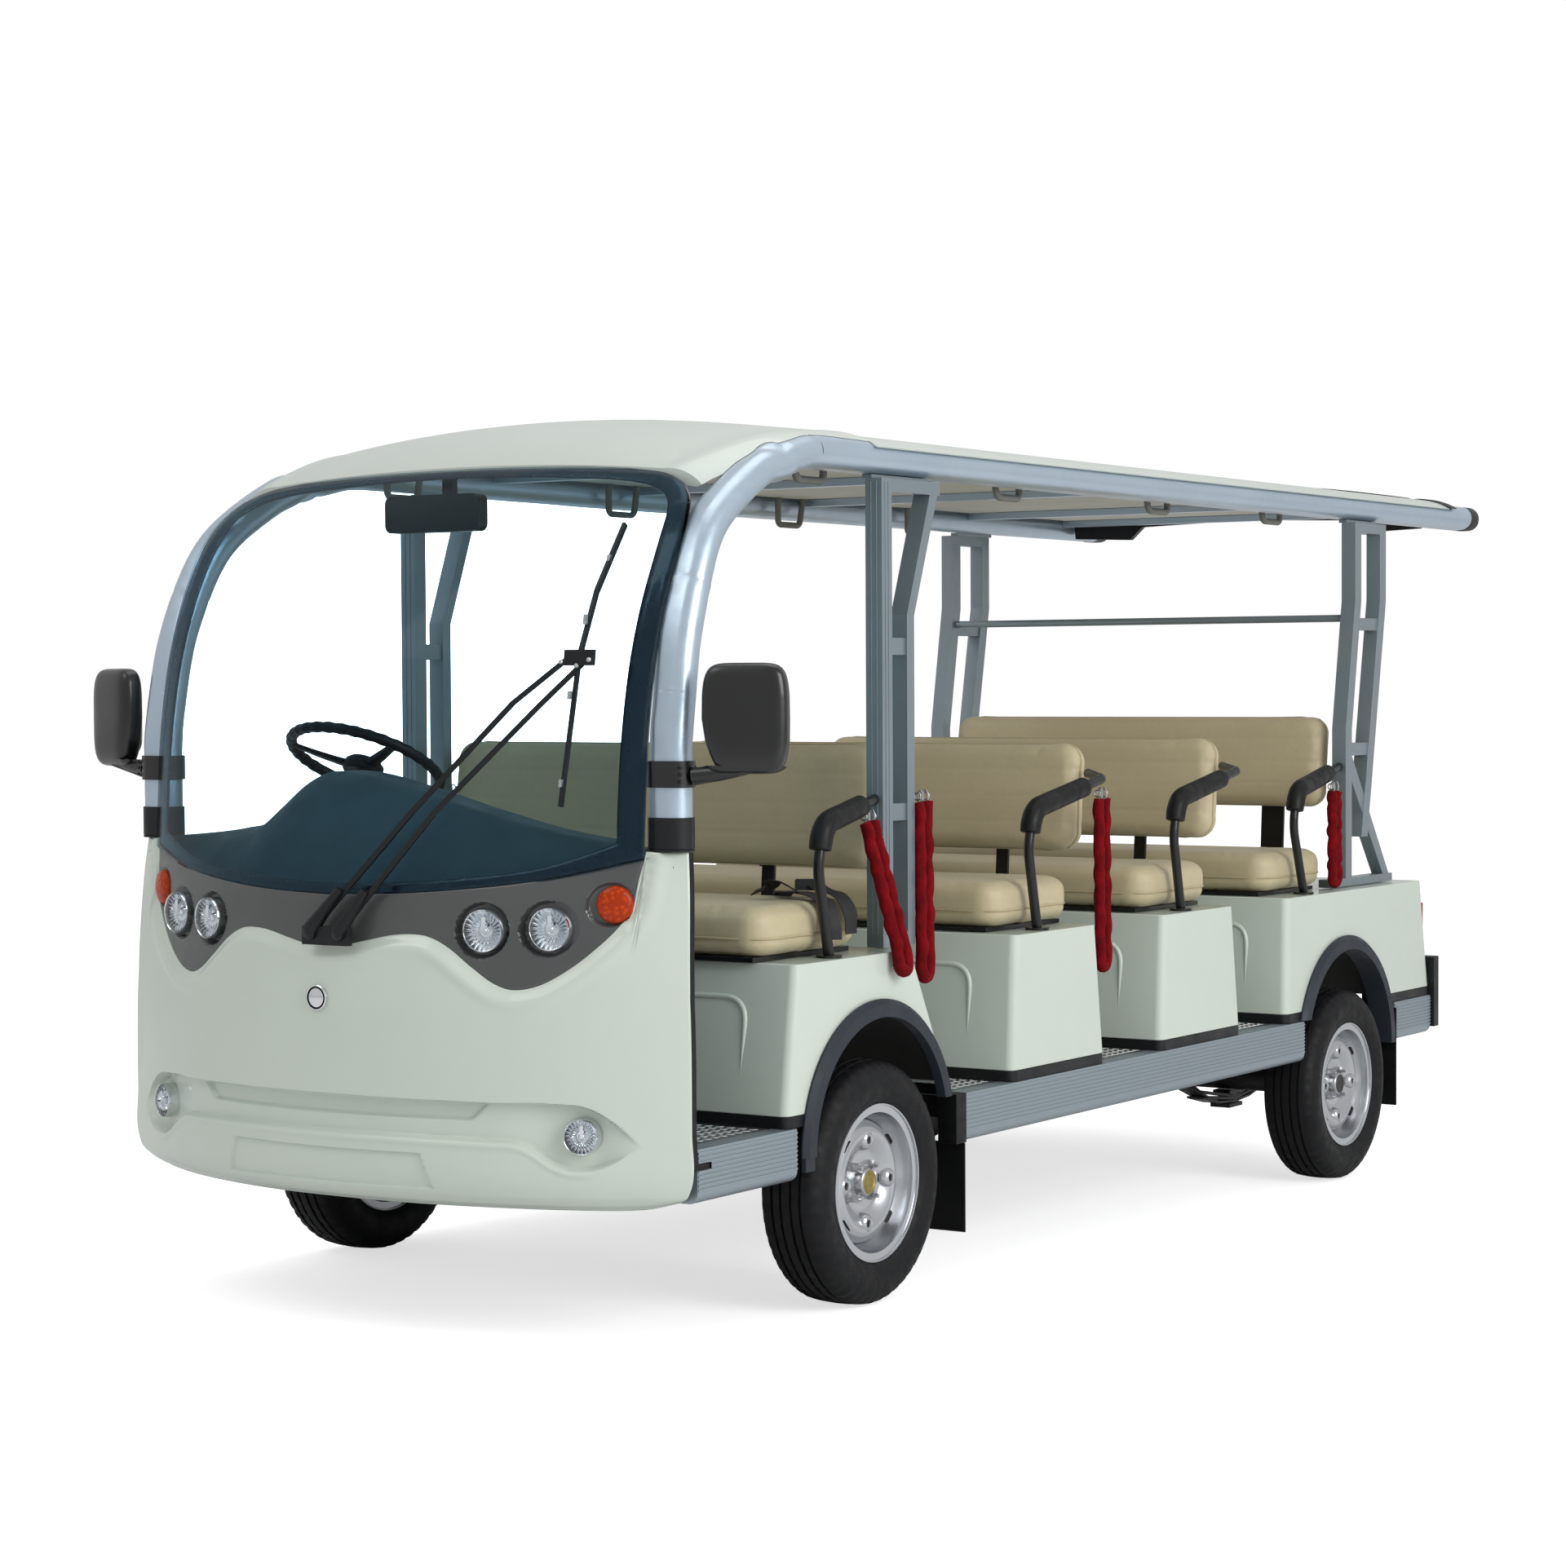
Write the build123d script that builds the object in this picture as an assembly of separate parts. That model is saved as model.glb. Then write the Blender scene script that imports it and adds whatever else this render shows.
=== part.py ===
from build123d import *
import os
from math import asin, cos, radians, sin, sqrt, tan

# Open-sided electric passenger bus, right-hand drive, front towards -Y, left side towards +X.
# Stations run along Y from the front axle; heights run from the ground under the front axle.
# The body is drawn level and then raked nose-down about the front axle; wheels and axles stay plumb.

WHEELBASE = 2645.0
TYRE_RADIUS = 281.0
RAKE_DEG = 1.07
Y_MIDDLE = WHEELBASE / 2 + 85.9
REAR_HUB_Z = 231.6

TRACK_HALF = 721.0
KINGPIN_X = 585.0
STEER_DEG = 28.0

BODY_HALF = 787.0
FLOOR_Z = 444.0
DECK_Z = 438.0
SILL_X = (BODY_HALF - 45, BODY_HALF + 5)
SILL_Z = (327.0, 444.0)
ROW_PITCH = (WHEELBASE - 230) / 3
AFT = WHEELBASE - 2645.0

COWL_RADIUS = 1300.0
COWL_BACK_Y = -740.0
SHELL = 6.0

HOOP_X = 727.0
HOOP_Y = -718.0
HOOP_JOINT_Y = -110.0
RAIL_Z = 1946.0
RAIL_END_Y = WHEELBASE + 1155
RAIL_WIDE = 94.0
RAIL_DEEP = 74.0
RAIL_X = 675.0

ROOF_TOP_Z = 2052.0
ROOF_CROWN_R = 3530.0

PILLAR_OUT_X = 721.0
LEG = 45.0


def box(x0, x1, y0, y1, z0, z1):
    return Pos((x0 + x1) / 2, (y0 + y1) / 2, (z0 + z1) / 2) * Box(x1 - x0, y1 - y0, z1 - z0)


def soft_box(x0, x1, y0, y1, z0, z1, plan_r, edge_r=0.0):
    block = box(x0, x1, y0, y1, z0, z1)
    block = fillet(block.edges().filter_by(Axis.Z), plan_r)
    if edge_r:
        block = fillet(block.faces().sort_by(Axis.Z)[-1].edges(), edge_r)
    return block


def cyl(axis, centre, radius, length):
    turn = {"X": Rot(0, 90, 0), "Y": Rot(90, 0, 0), "Z": Rot(0, 0, 0)}[axis]
    return Pos(*centre) * turn * Cylinder(radius, length)


def face_of(points):
    return make_face(Polyline(*points, close=True))


def prism_x(yz, x0, x1):
    sheet = Plane.YZ * face_of(yz)
    return Pos(x0, 0, 0) * extrude(sheet, x1 - x0)


def prism_y(xz, y0, y1):
    sheet = Plane.XZ * face_of(xz)
    return Pos(0, y1, 0) * extrude(sheet, y1 - y0)


def prism_z(xy, z0, z1):
    sheet = Plane.XY * face_of(xy)
    return Pos(0, 0, z0) * extrude(sheet, z1 - z0)


def bar(a, b, wide, deep, up=(0, 0, 1)):
    start = Vector(*a)
    along = Vector(*b) - start
    plane = Plane(origin=start, x_dir=along.cross(Vector(*up)), z_dir=along)
    return extrude(plane * Rectangle(wide, deep), along.length)


def run_tube(points, radii, r_out, r_in=0.0):
    path = FilletPolyline(*points, radius=radii)
    start = Plane(origin=path @ 0, z_dir=path % 0)
    ring = Circle(r_out) - Circle(r_in) if r_in else Circle(r_out)
    return sweep(start * ring, path)


def mirrored(shape):
    return mirror(shape, about=Plane.YZ)


def both(*shapes):
    out = []
    for shape in shapes:
        out += [shape, mirrored(shape)]
    return out


def body_place(shape):
    return Pos(0, -Y_MIDDLE, TYRE_RADIUS) * Rot(RAKE_DEG, 0, 0) * Pos(0, 0, -TYRE_RADIUS) * shape


def wheel_place(shape):
    return Pos(0, -Y_MIDDLE, 0) * shape


def save(name, shapes, place=body_place):
    solids = []
    for shape in shapes if isinstance(shapes, list) else [shapes]:
        solids += list(shape.solids())
    whole = place(Compound(children=solids))
    whole.label = name
    export_step(whole, f"parts/{name}.step")


# Wheels
TYRE_HALF = [(45, 166.3), (62, 166.3), (62.3, 183), (74, 200), (83, 226), (80, 250), (70, 268), (56, 277), (0, 281)]
TYRE_IN = [(0, 268), (54, 262), (70, 240), (72, 222), (60, 200), (47, 186)]


def tyre():
    right = TYRE_HALF
    left = [(-x, r) for x, r in reversed(TYRE_HALF[:-1])]
    inner_left = [(-x, r) for x, r in reversed(TYRE_IN[1:])]
    inner = inner_left + TYRE_IN
    sheet = face_of(right + left + inner)
    return revolve(Plane.XY * sheet, Axis.X)


RIM_OUT = [(-70, 182), (-63.5, 182), (-62.3, 165.6), (-38, 165), (-22, 148), (22, 148), (38, 165),
           (62.3, 165.6), (63.5, 182), (70, 182)]
RIM_IN = [(70, 178), (67, 178), (66, 161), (37, 161), (21, 144), (-21, 144), (-37, 161), (-66, 161),
          (-67, 178), (-70, 178)]
DISC_OUT = [(6, 146), (30, 140), (44, 124), (46, 108), (34, 84), (26, 74), (26, 32)]
DISC_IN = [(21, 32), (21, 76), (29, 87), (41, 109), (39, 122), (27, 135), (2, 142)]
BUMP_R = 96.0
NUT_R = 50.0


def rim(inner_side=False):
    shell = revolve(Plane.XY * face_of(RIM_OUT + RIM_IN), Axis.X)
    disc = revolve(Plane.XY * face_of(DISC_OUT + DISC_IN), Axis.X)
    hub = cyl("X", (-12.0, 0, 0), 70, 66)
    cap = cyl("X", (34, 0, 0), 31.5, 28)
    wheel = shell + disc + hub + cap
    for k in range(4):
        a = radians(90 * k)
        wheel += Rot(90 * k, 0, 0) * Pos(40, BUMP_R, 0) * Rot(0, 90, 0) * Cone(24, 15, 18)
        wheel -= cyl("X", (45, BUMP_R * cos(a), BUMP_R * sin(a)), 7.5, 60)
        wheel -= Rot(90 * k + 45, 0, 0) * box(20, 60, 122, 134, -17, 17)
        b = radians(90 * k + 45)
        wheel += cyl("X", (33, NUT_R * cos(b), NUT_R * sin(b)), 10, 20)
    wheel -= cyl("X", (-20, 0, 0), 17.55, 70)
    return wheel


WHEELS = {"front_left": (1, 0.0), "front_right": (-1, 0.0), "rear_left": (1, WHEELBASE), "rear_right": (-1, WHEELBASE)}
one_tyre = tyre()
one_rim = rim()
for name, (side, station) in WHEELS.items():
    at = Pos(side * TRACK_HALF, station, TYRE_RADIUS)
    turn = Rot(0, 0, 0) if side > 0 else Rot(0, 0, 180)
    save(f"tyre_{name}", at * turn * one_tyre, wheel_place)
    save(f"rim_{name}", at * turn * one_rim, wheel_place)

# Steering knuckles on plain kingpins
def knuckle():
    spindle = cyl("X", (-23.0, 0, 0), 17.5, 66)
    plate = box(-64, -52, -42, 42, -60, 60)
    upper = box(-160, -60, -24, 24, 41, 60)
    lower = box(-160, -60, -24, 24, -60, -41)
    arm = box(-150, -52, 42, 60, -60, -46) + box(-150, -126, 42, 120, -60, -46)
    arm += box(-64, -52, 30, 60, -60, -46)
    block = spindle + plate + upper + lower + arm
    pin_x = KINGPIN_X - TRACK_HALF
    block -= cyl("Z", (pin_x, 0, 50), 12.05, 40)
    block -= cyl("Z", (pin_x, 0, -50), 12.05, 40)
    return block


one_knuckle = Pos(TRACK_HALF, 0, TYRE_RADIUS) * knuckle()
save("knuckle_left", one_knuckle, wheel_place)
save("knuckle_right", mirrored(one_knuckle), wheel_place)

beam = box(-575, 575, -24, 24, TYRE_RADIUS - 30, TYRE_RADIUS + 30)
for side in (1, -1):
    beam += cyl("Z", (side * KINGPIN_X, 0, TYRE_RADIUS), 24, 72)
    beam += cyl("Z", (side * KINGPIN_X, 0, TYRE_RADIUS), 12, 132)
save("front_axle", beam, wheel_place)

casing = cyl("X", (0, WHEELBASE, TYRE_RADIUS), 38, 1330)
casing += cyl("Y", (0, WHEELBASE, TYRE_RADIUS), 112, 170)
for side in (1, -1):
    casing += cyl("X", (side * (TRACK_HALF - 23), WHEELBASE, TYRE_RADIUS), 17.5, 66)
    casing += cyl("X", (side * (TRACK_HALF - 58), WHEELBASE, TYRE_RADIUS), 80, 12)
save("rear_axle", casing, wheel_place)
save("drive_motor", cyl("Y", (0, WHEELBASE + 201, TYRE_RADIUS), 105, 230), wheel_place)

# Leaf springs: station of the axle, height of the seat, height of the eyes
SPRINGS = [("front", 0.0, TYRE_RADIUS + 31.0, 316.0, 340.0), ("rear", WHEELBASE, REAR_HUB_Z - 62.0, 322.0, 470.0)]
leaves = []
for name, station, seat_z, eye_z, half in SPRINGS:
    for n, share in enumerate((1.0, 0.72, 0.45)):
        low = seat_z + 7.8 * n if name == "front" else seat_z - 7.8 * n
        rise = (eye_z - seat_z) * share * share
        span = half * share
        line = [(-span, low + rise), (-span / 2, low + rise / 4), (0, low), (span / 2, low + rise / 4), (span, low + rise)]
        low_side = [(station + y, z) for y, z in line]
        top_side = [(y, z + 7.5) for y, z in reversed(low_side)]
        leaves.append(prism_x(low_side + top_side, 372, 428))
rear_clamp = box(368, 432, WHEELBASE - 45, WHEELBASE + 45, REAR_HUB_Z - 90, REAR_HUB_Z - 78)
rear_pad = box(372, 428, WHEELBASE - 35, WHEELBASE + 35, REAR_HUB_Z - 54.3, REAR_HUB_Z - 39)
leaves += [rear_clamp, rear_pad]
save("leaf_springs", both(*leaves))

# Chassis ladder
rail = box(372, 432, -745, 3190 + AFT, 336, 437) - box(376, 428, -740, 3185 + AFT, 340, 433)
ladder = both(rail)
CROSS_Y = (-730, -390, 520, 1180, 2060, 3120 + AFT)
for y in CROSS_Y:
    ladder.append(box(-371.5, 371.5, y - 30, y + 30, 352, 432))
OUTRIGGER_Y = (-560, 480, 1180, 1900, 2270 + AFT)
for y in OUTRIGGER_Y:
    ladder += both(box(432.5, SILL_X[0] - 1, y - 20, y + 20, 372, 428))
tow = box(-30, -18, 3190, 3395, 352, 412) + box(18, 30, 3190, 3395, 352, 412)
tow += box(-60, 60, 3150.5, 3190, 352, 412)
tow -= cyl("X", (0, 3365, 382), 12.5, 80)
ladder.append(Pos(0, AFT, 0) * tow)
save("chassis_frame", ladder)
save("battery_block", box(-330, 330, 705, 1060, 446, 690))

# Floor
DECK_HALF = SILL_X[0] - 1
deck = box(-DECK_HALF, DECK_HALF, COWL_BACK_Y - 2, -378, DECK_Z, FLOOR_Z)
deck += box(-470, 470, -380, 370, DECK_Z, FLOOR_Z)
deck += box(-DECK_HALF, DECK_HALF, 368, 2250 + AFT, DECK_Z, FLOOR_Z)
deck += box(-560, 560, 2248 + AFT, 3240 + AFT, DECK_Z, FLOOR_Z)
save("floor_deck", deck)

# Sill steps: start and end stations
SILLS = [(COWL_BACK_Y + 18, -338), (398, WHEELBASE - 303), (WHEELBASE + 357, WHEELBASE + 637)]
strips = []
for y0, y1 in SILLS:
    step = box(SILL_X[0], SILL_X[1], y0, y1, SILL_Z[0], SILL_Z[1])
    low_out = [e for e in step.edges().filter_by(Axis.Y) if e.center().Z < 330 and e.center().X > SILL_X[1] - 2]
    step = fillet(low_out, 24)
    step -= box(SILL_X[0] + 5, SILL_X[1] - 22, y0 - 1, y1 + 1, SILL_Z[0] + 24, SILL_Z[1] - 5)
    strips += both(step)
save("side_sills", strips)
rubber = [box(SILL_X[0] + 2, SILL_X[1] + 4, 350, 397.5, 327, 446)]

# Front shell sections: height, nose station, half width beyond the side, bow radius
COWL_LEVELS = [(318, -985, -3, COWL_RADIUS), (345, -1008, 19, COWL_RADIUS), (480, -1017, 26, COWL_RADIUS),
               (760, -1011, 24, COWL_RADIUS), (960, -985, 19, COWL_RADIUS + 80), (1100, -948, 9, COWL_RADIUS + 150)]


def plan_line(nose, half, inset, corner, bow):
    big = bow - inset
    half = half - inset
    nose = nose + inset
    corner = corner - inset
    turn = asin((half - corner) / (big - corner))
    mid_y = nose + big
    tx = big * sin(turn)
    ty = mid_y - big * cos(turn)
    cx = half - corner
    cy = mid_y - (big - corner) * cos(turn)
    mid = radians(45) + turn / 2
    mx = cx + corner * sin(mid)
    my = cy - corner * cos(mid)
    return (tx, ty), (mx, my), (half, cy)


def plan_face(z, nose, half, inset=0.0, corner=70.0, back=COWL_BACK_Y, bow=COWL_RADIUS):
    (tx, ty), (mx, my), (hx, hy) = plan_line(nose, half, inset, corner, bow)
    back = max(back, hy + 4)
    wire = [ThreePointArc((-tx, ty), (0, nose + inset), (tx, ty)),
            ThreePointArc((tx, ty), (mx, my), (hx, hy)),
            Line((hx, hy), (hx, back)), Line((hx, back), (-hx, back)), Line((-hx, back), (-hx, hy)),
            ThreePointArc((-hx, hy), (-mx, my), (-tx, ty))]
    return Pos(0, 0, z) * make_face(wire)


def front_block(inset, back):
    return loft([plan_face(z, nose, BODY_HALF + over, inset, back=back, bow=bow) for z, nose, over, bow in COWL_LEVELS])


outer_block = front_block(0.0, COWL_BACK_Y + 120)
inner_block = front_block(SHELL, COWL_BACK_Y + 160)
front_skin = (outer_block - inner_block) & box(-850, 850, -1100, COWL_BACK_Y, 300, 1200)

# Outlines on the front face, half width and height, seen from the front
GLASS_LOW = [(0, 968), (180, 974), (330, 985), (480, 1003), (600, 1027), (700, 1052), (830, 1084)]
MASK_LOW = [(0, 862), (110, 876), (180, 890), (228, 893), (268, 888), (312, 868), (372, 824), (420, 790), (462, 780),
            (510, 790), (560, 818), (620, 868), (668, 920), (690, 965), (697, 1052)]


def mask_outline(grow=0.0):
    top = [(x, z) for x, z in GLASS_LOW if x < 695] + [(697, 1052)]
    low = MASK_LOW[:-1]
    right = [(x, z - grow) for x, z in low] + [(x, z + 40) for x, z in reversed(top[1:])]
    left = [(-x, z) for x, z in reversed(right) if x > 0]
    return right + [(0, 1008)] + left


mask_cut = prism_y(mask_outline(), -1100, -640)
glass_low = [(x, z) for x, z in GLASS_LOW] + [(830, 1300)]
glass_low = glass_low + [(-x, z) for x, z in reversed(glass_low) if x > 0]
above_glass = prism_y(glass_low, -1100, -500)
side_top = box(-850, 850, -1100, -600, 1069, 1300)
cowl = front_skin - mask_cut - above_glass - side_top

# Lamp places on the mask: x, station of the face, height, lens radius
LAMPS = [(396.0, -936.0, 904.0, 43.0), (534.0, -882.0, 909.0, 43.0)]
mask = (front_skin & mask_cut) - above_glass
lamp_bodies = []
for x, y, z, r in LAMPS:
    aim = Plane(origin=(x, y, z), z_dir=(0.22, -1, 0))
    for flip in (False, True):
        dish = extrude(aim * Circle(r + 8), 60, both=True)
        pod = extrude(aim * Circle(r), 6) + extrude(aim * Circle(r), -52)
        mask -= mirrored(dish) if flip else dish
        pod += extrude(aim * (Circle(r + 7.5)), -8) - extrude(aim * Circle(r - 2), -8)
        lamp_bodies.append(mirrored(pod) if flip else pod)
turn_aim = Plane(origin=(648, -815, 960), z_dir=(0.5, -1, 0))
turn_hole = extrude(turn_aim * Circle(40), 60, both=True)
mask = mask - turn_hole - mirrored(turn_hole)
cowl = cowl - turn_hole - mirrored(turn_hole)
turn_lamp = extrude(turn_aim * Circle(39.5), 8) + extrude(turn_aim * Circle(39.5), -30)
save("indicator_lamps", both(turn_lamp))
save("front_mask", mask)
fog_aim = Plane(origin=(600, -878, 474), z_dir=(0.45, -1, 0))
fog = extrude(fog_aim * Circle(37), 4) + extrude(fog_aim * Circle(37), -36)
fog_hole = extrude(fog_aim * Circle(37.5), 60, both=True)
save("front_cowl", cowl - fog_hole - mirrored(fog_hole))
save("front_lamps", lamp_bodies + both(fog))

# Windscreen: height, nose station, how far the sides lie behind the nose
SCREEN = [(955, -978, 196), (1130, -953, 181), (1320, -920, 162), (1500, -858, 134), (1660, -765, 100), (1790, -655, 68),
          (1880, -552, 50), (1925, -495, 40)]
SCREEN_HALF = 697.0


def screen_face(z, nose, sag, half, inset):
    edge = nose + sag * (half / SCREEN_HALF) ** 2 + inset * 1.2
    nose = nose + inset
    back = edge + 60
    wire = [ThreePointArc((-half, edge), (0, nose), (half, edge)), Line((half, edge), (half, back)),
            Line((half, back), (-half, back)), Line((-half, back), (-half, edge))]
    return Pos(0, 0, z) * make_face(wire)


screen = loft([screen_face(z, nose, sag, 720, 0) for z, nose, sag in SCREEN], ruled=False)
screen -= loft([screen_face(z, nose, sag, 760, 5) for z, nose, sag in SCREEN], ruled=False)
SCREEN_EDGE = [(0, 971), (180, 977), (330, 988), (480, 1006), (600, 1030), (690, 1052), (697, 1080), (697, 1400), (698, 1600),
               (698, 1720), (688, 1780), (668, 1825), (635, 1857), (580, 1880), (500, 1893), (380, 1903), (200, 1912), (0, 1916)]
screen_cut = SCREEN_EDGE + [(-x, z) for x, z in reversed(SCREEN_EDGE) if x > 0]
screen &= prism_y(screen_cut, -1100, -200)

# Hoops and roof rails: the leg stands upright, then bends back and in to the rail
HOOP_BEND = [(-1, 16, 1400), (-4, 36, 1500), (-11, 87, 1634), (-22, 158, 1750), (-30, 268, 1832),
             (-39, 418, 1903), (-46, 532, 1930)]


def hoop_path():
    foot = (HOOP_X, HOOP_Y, 1078)
    crown = (RAIL_X, -40, RAIL_Z)
    bend = [(HOOP_X + dx, HOOP_Y + dy, z) for dx, dy, z in HOOP_BEND]
    knee = (HOOP_X, HOOP_Y, 1268)
    curve = Line(foot, knee) + Spline(knee, *bend, crown, tangents=[(0, 0, 1), (0, 1, 0)])
    return curve + Line(crown, (RAIL_X, RAIL_END_Y, RAIL_Z))


def hoop_solid(grow, route):
    plane = Plane(origin=route @ 0, x_dir=(1, 0, 0), z_dir=route % 0)
    wide = RAIL_WIDE + 2 * grow
    deep = RAIL_DEEP + 2 * grow
    return sweep(plane * RectangleRounded(wide, deep, deep / 2 - 1), route)


def hoop_band(grow, z0, z1):
    return hoop_solid(grow, Line((HOOP_X, HOOP_Y, z0), (HOOP_X, HOOP_Y, z1)))


path = hoop_path()
rail_x0 = RAIL_X - RAIL_WIDE / 2
hoop = hoop_solid(0.0, path)
front_hoop = hoop & box(600, 900, -900, HOOP_JOINT_Y, 900, 2100)
side_rail = hoop & box(600, 900, HOOP_JOINT_Y, 4000 + AFT, 900, 2100)
hoop_room = hoop_solid(1.0, path)
ROOF_BAR_Y = (125, 430, 1080, 1895, 2900 + AFT, 3540 + AFT)
bars = [box(-rail_x0 + 0.5, rail_x0 - 0.5, y - 20, y + 20, 1948, 1968) for y in ROOF_BAR_Y]
save("front_hoops", both(front_hoop))
save("roof_rails", both(side_rail) + bars)

collar = hoop_band(4, 1075.5, 1142) - hoop_band(0.3, 1074, 1143)
collar += hoop_band(4, 1070, 1075)
end_cap = Pos(RAIL_X, RAIL_END_Y + 1, RAIL_Z) * (Rot(-90, 0, 0) * extrude(RectangleRounded(RAIL_WIDE + 2, RAIL_DEEP + 2, 36), 80))
end_cap = fillet(end_cap.faces().sort_by(Axis.Y)[-1].edges(), 26)
save("rail_trim", both(collar, end_cap))

# Roof
def crown(x, top):
    return top - (ROOF_CROWN_R - sqrt(ROOF_CROWN_R * ROOF_CROWN_R - x * x))


def roof_section(top, skin):
    z = crown(600, top)
    wire = [ThreePointArc((-600, z), (0, top), (600, z)),
            ThreePointArc((600, z), (676, z - 9), (727, z - 32)),
            Line((727, z - 32), (723, z - 34)),
            ThreePointArc((723, z - 34), (674, z - 13), (600, z - skin)),
            ThreePointArc((600, z - skin), (0, top - skin), (-600, z - skin)),
            ThreePointArc((-600, z - skin), (-674, z - 13), (-723, z - 34)),
            Line((-723, z - 34), (-727, z - 32)),
            ThreePointArc((-727, z - 32), (-676, z - 9), (-600, z))]
    return make_face(wire)


def crown_sheet(top, thick, half):
    z = crown(half, top)
    wire = [ThreePointArc((-half, z), (0, top), (half, z)), Line((half, z), (half, z - thick)),
            ThreePointArc((half, z - thick), (0, top - thick), (-half, z - thick)), Line((-half, z - thick), (-half, z))]
    return make_face(wire)


roof = Pos(0, 3600 + AFT, 0) * extrude(Plane.XZ * roof_section(ROOF_TOP_Z, 5), 3479 + AFT)
save("roof_panel", roof - both(hoop_room)[0] - both(hoop_room)[1])
save("roof_lining", box(-rail_x0 + 12, rail_x0 - 12, 0, 3590 + AFT, 1969, 1974))

# Front roof cap sections: station, top height, edge height, half width
CAP = [(119.5, 2052, 1960, 727), (-80, 2047, 1958, 722), (-200, 2036, 1946, 712), (-300, 2019, 1924, 698),
       (-400, 1989, 1893, 682), (-470, 1950, 1868, 668), (-530, 1900, 1835, 655)]


def cap_section(y, top, edge, half, thick=20):
    shoulder = edge + 41
    inner = half - 100
    wire = [ThreePointArc((-inner, shoulder), (0, top), (inner, shoulder)),
            ThreePointArc((inner, shoulder), (half - 33, edge + 26), (half, edge)),
            Line((half, edge), (half - 12, edge - 4)),
            ThreePointArc((half - 12, edge - 4), (0, top - thick), (-(half - 12), edge - 4)),
            Line((-(half - 12), edge - 4), (-half, edge)),
            ThreePointArc((-half, edge), (-(half - 33), edge + 26), (-inner, shoulder))]
    return Pos(0, y, 0) * (Plane.XZ * make_face(wire))


cap = loft([cap_section(*row) for row in CAP])
nose_arc = [ThreePointArc((-760, -498), (0, -512), (760, -498)), Line((760, -498), (760, 200)),
            Line((760, 200), (-760, 200)), Line((-760, 200), (-760, -498))]
cap &= Pos(0, 0, 1750) * extrude(make_face(nose_arc), 400)
cap = cap - hoop_room - mirrored(hoop_room)
cap = Compound(children=[cap.solids().sort_by(SortBy.VOLUME)[-1]])
save("roof_front", cap)
screen -= Pos(0, -2, 1700) * extrude(make_face(nose_arc), 500)
for clash in (hoop_room, hoop_band(7.5, 1068, 1145), hoop_band(8.5, 1200, 1266)):
    screen = screen - clash - mirrored(clash)
screen = Compound(children=[screen.solids().sort_by(SortBy.VOLUME)[-1]])
save("windscreen", screen)

skirt = [(-628, 1990), (-622, 1922), (-415, 1914), (-369, 1956), (0, 1968), (369, 1956), (415, 1914), (622, 1922), (628, 1990)]
tail = Pos(0, 3662, 0) * extrude(Plane.XZ * roof_section(ROOF_TOP_Z + 4, 12), 61)
tail += prism_y([(x, z - 12) for x, z in skirt] + [(0, 2030)], 3601, 3625)
tail += Pos(0, 3602, 0) * extrude(Plane.XZ * crown_sheet(ROOF_TOP_Z + 6, 5.5, 590), 180)
tail = Pos(0, AFT, 0) * tail - hoop_room - mirrored(hoop_room)
save("roof_tail", tail)

GRAB_Y = (15, 945, 1785, 2520)
grabs = []
for y in GRAB_Y:
    points = [(600, y - 66, 1967), (606, y - 58, 1890), (606, y + 58, 1890), (600, y + 66, 1967)]
    grabs += both(run_tube(points, [18, 18], 9))
save("grab_handles", grabs)

# Middle ladder pillars
IN_X = PILLAR_OUT_X - LEG
mid = box(IN_X, PILLAR_OUT_X, 144, 189, 806, 1899)
mid += box(IN_X, PILLAR_OUT_X, 255, 288, 806, 1582)
mid += prism_x([(255, 1580), (288, 1580), (409, 1899), (374, 1899)], IN_X, PILLAR_OUT_X)
for z0, z1 in ((1100, 1140), (1488, 1528)):
    mid += box(IN_X + 5, PILLAR_OUT_X - 5, 188, 257, z0, z1)
mid += box(IN_X, PILLAR_OUT_X, 144, 409, 1868, 1899)
mid += box(IN_X, PILLAR_OUT_X, 144, 288, 806, 838)
mid += box(IN_X - 12, 690, 150, 400, 1899, 1908)
save("mid_pillars", both(mid))

# Rear pillars with brace and cross tube
rear = prism_x([(2868, 1899), (2868, 1665), (2798, 1280), (2798, 806), (2843, 806), (2843, 1276), (2913, 1662), (2913, 1899)],
               IN_X, PILLAR_OUT_X)
rear += prism_x([(3055, 1899), (3055, 1668), (2915, 950), (2960, 950), (3100, 1664), (3100, 1899)], IN_X, PILLAR_OUT_X)
rear += prism_x([(2830, 1195), (2843, 1130), (3105, 806), (3150, 806), (2846, 1205)], IN_X + 4, PILLAR_OUT_X - 4)
rear += box(IN_X, PILLAR_OUT_X, 2868, 3100, 1868, 1899)
rear += box(IN_X, PILLAR_OUT_X, 2700, 3150, 806, 830)
rear += box(IN_X + 5, PILLAR_OUT_X - 5, 2895, 3060, 1575, 1612)
rear += box(IN_X + 5, PILLAR_OUT_X - 5, 2835, 2980, 1197, 1235)
rear += box(IN_X - 12, 690, 2875, 3095, 1899, 1908)
cross_tube = cyl("X", (0, 2884, 1611), 11, 2 * IN_X - 1)
save("rear_pillars", [Pos(0, AFT, 0) * shape for shape in both(rear) + [cross_tube]])

# Seat pedestals: front and back stations at the foot, then at the top
PEDESTALS = [("seat_box_front", -370, 342, -318, 179),
             ("seat_box_second", ROW_PITCH - 165, ROW_PITCH + 321, ROW_PITCH - 137, ROW_PITCH + 287),
             ("seat_box_third", 2 * ROW_PITCH - 165, 2 * ROW_PITCH + 321, 2 * ROW_PITCH - 137, 2 * ROW_PITCH + 287),
             ("rear_body", WHEELBASE - 413, WHEELBASE + 645, WHEELBASE - 395, WHEELBASE + 594)]
BOX_TOP = 803.0
STRIP_TOP = 470.0


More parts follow.
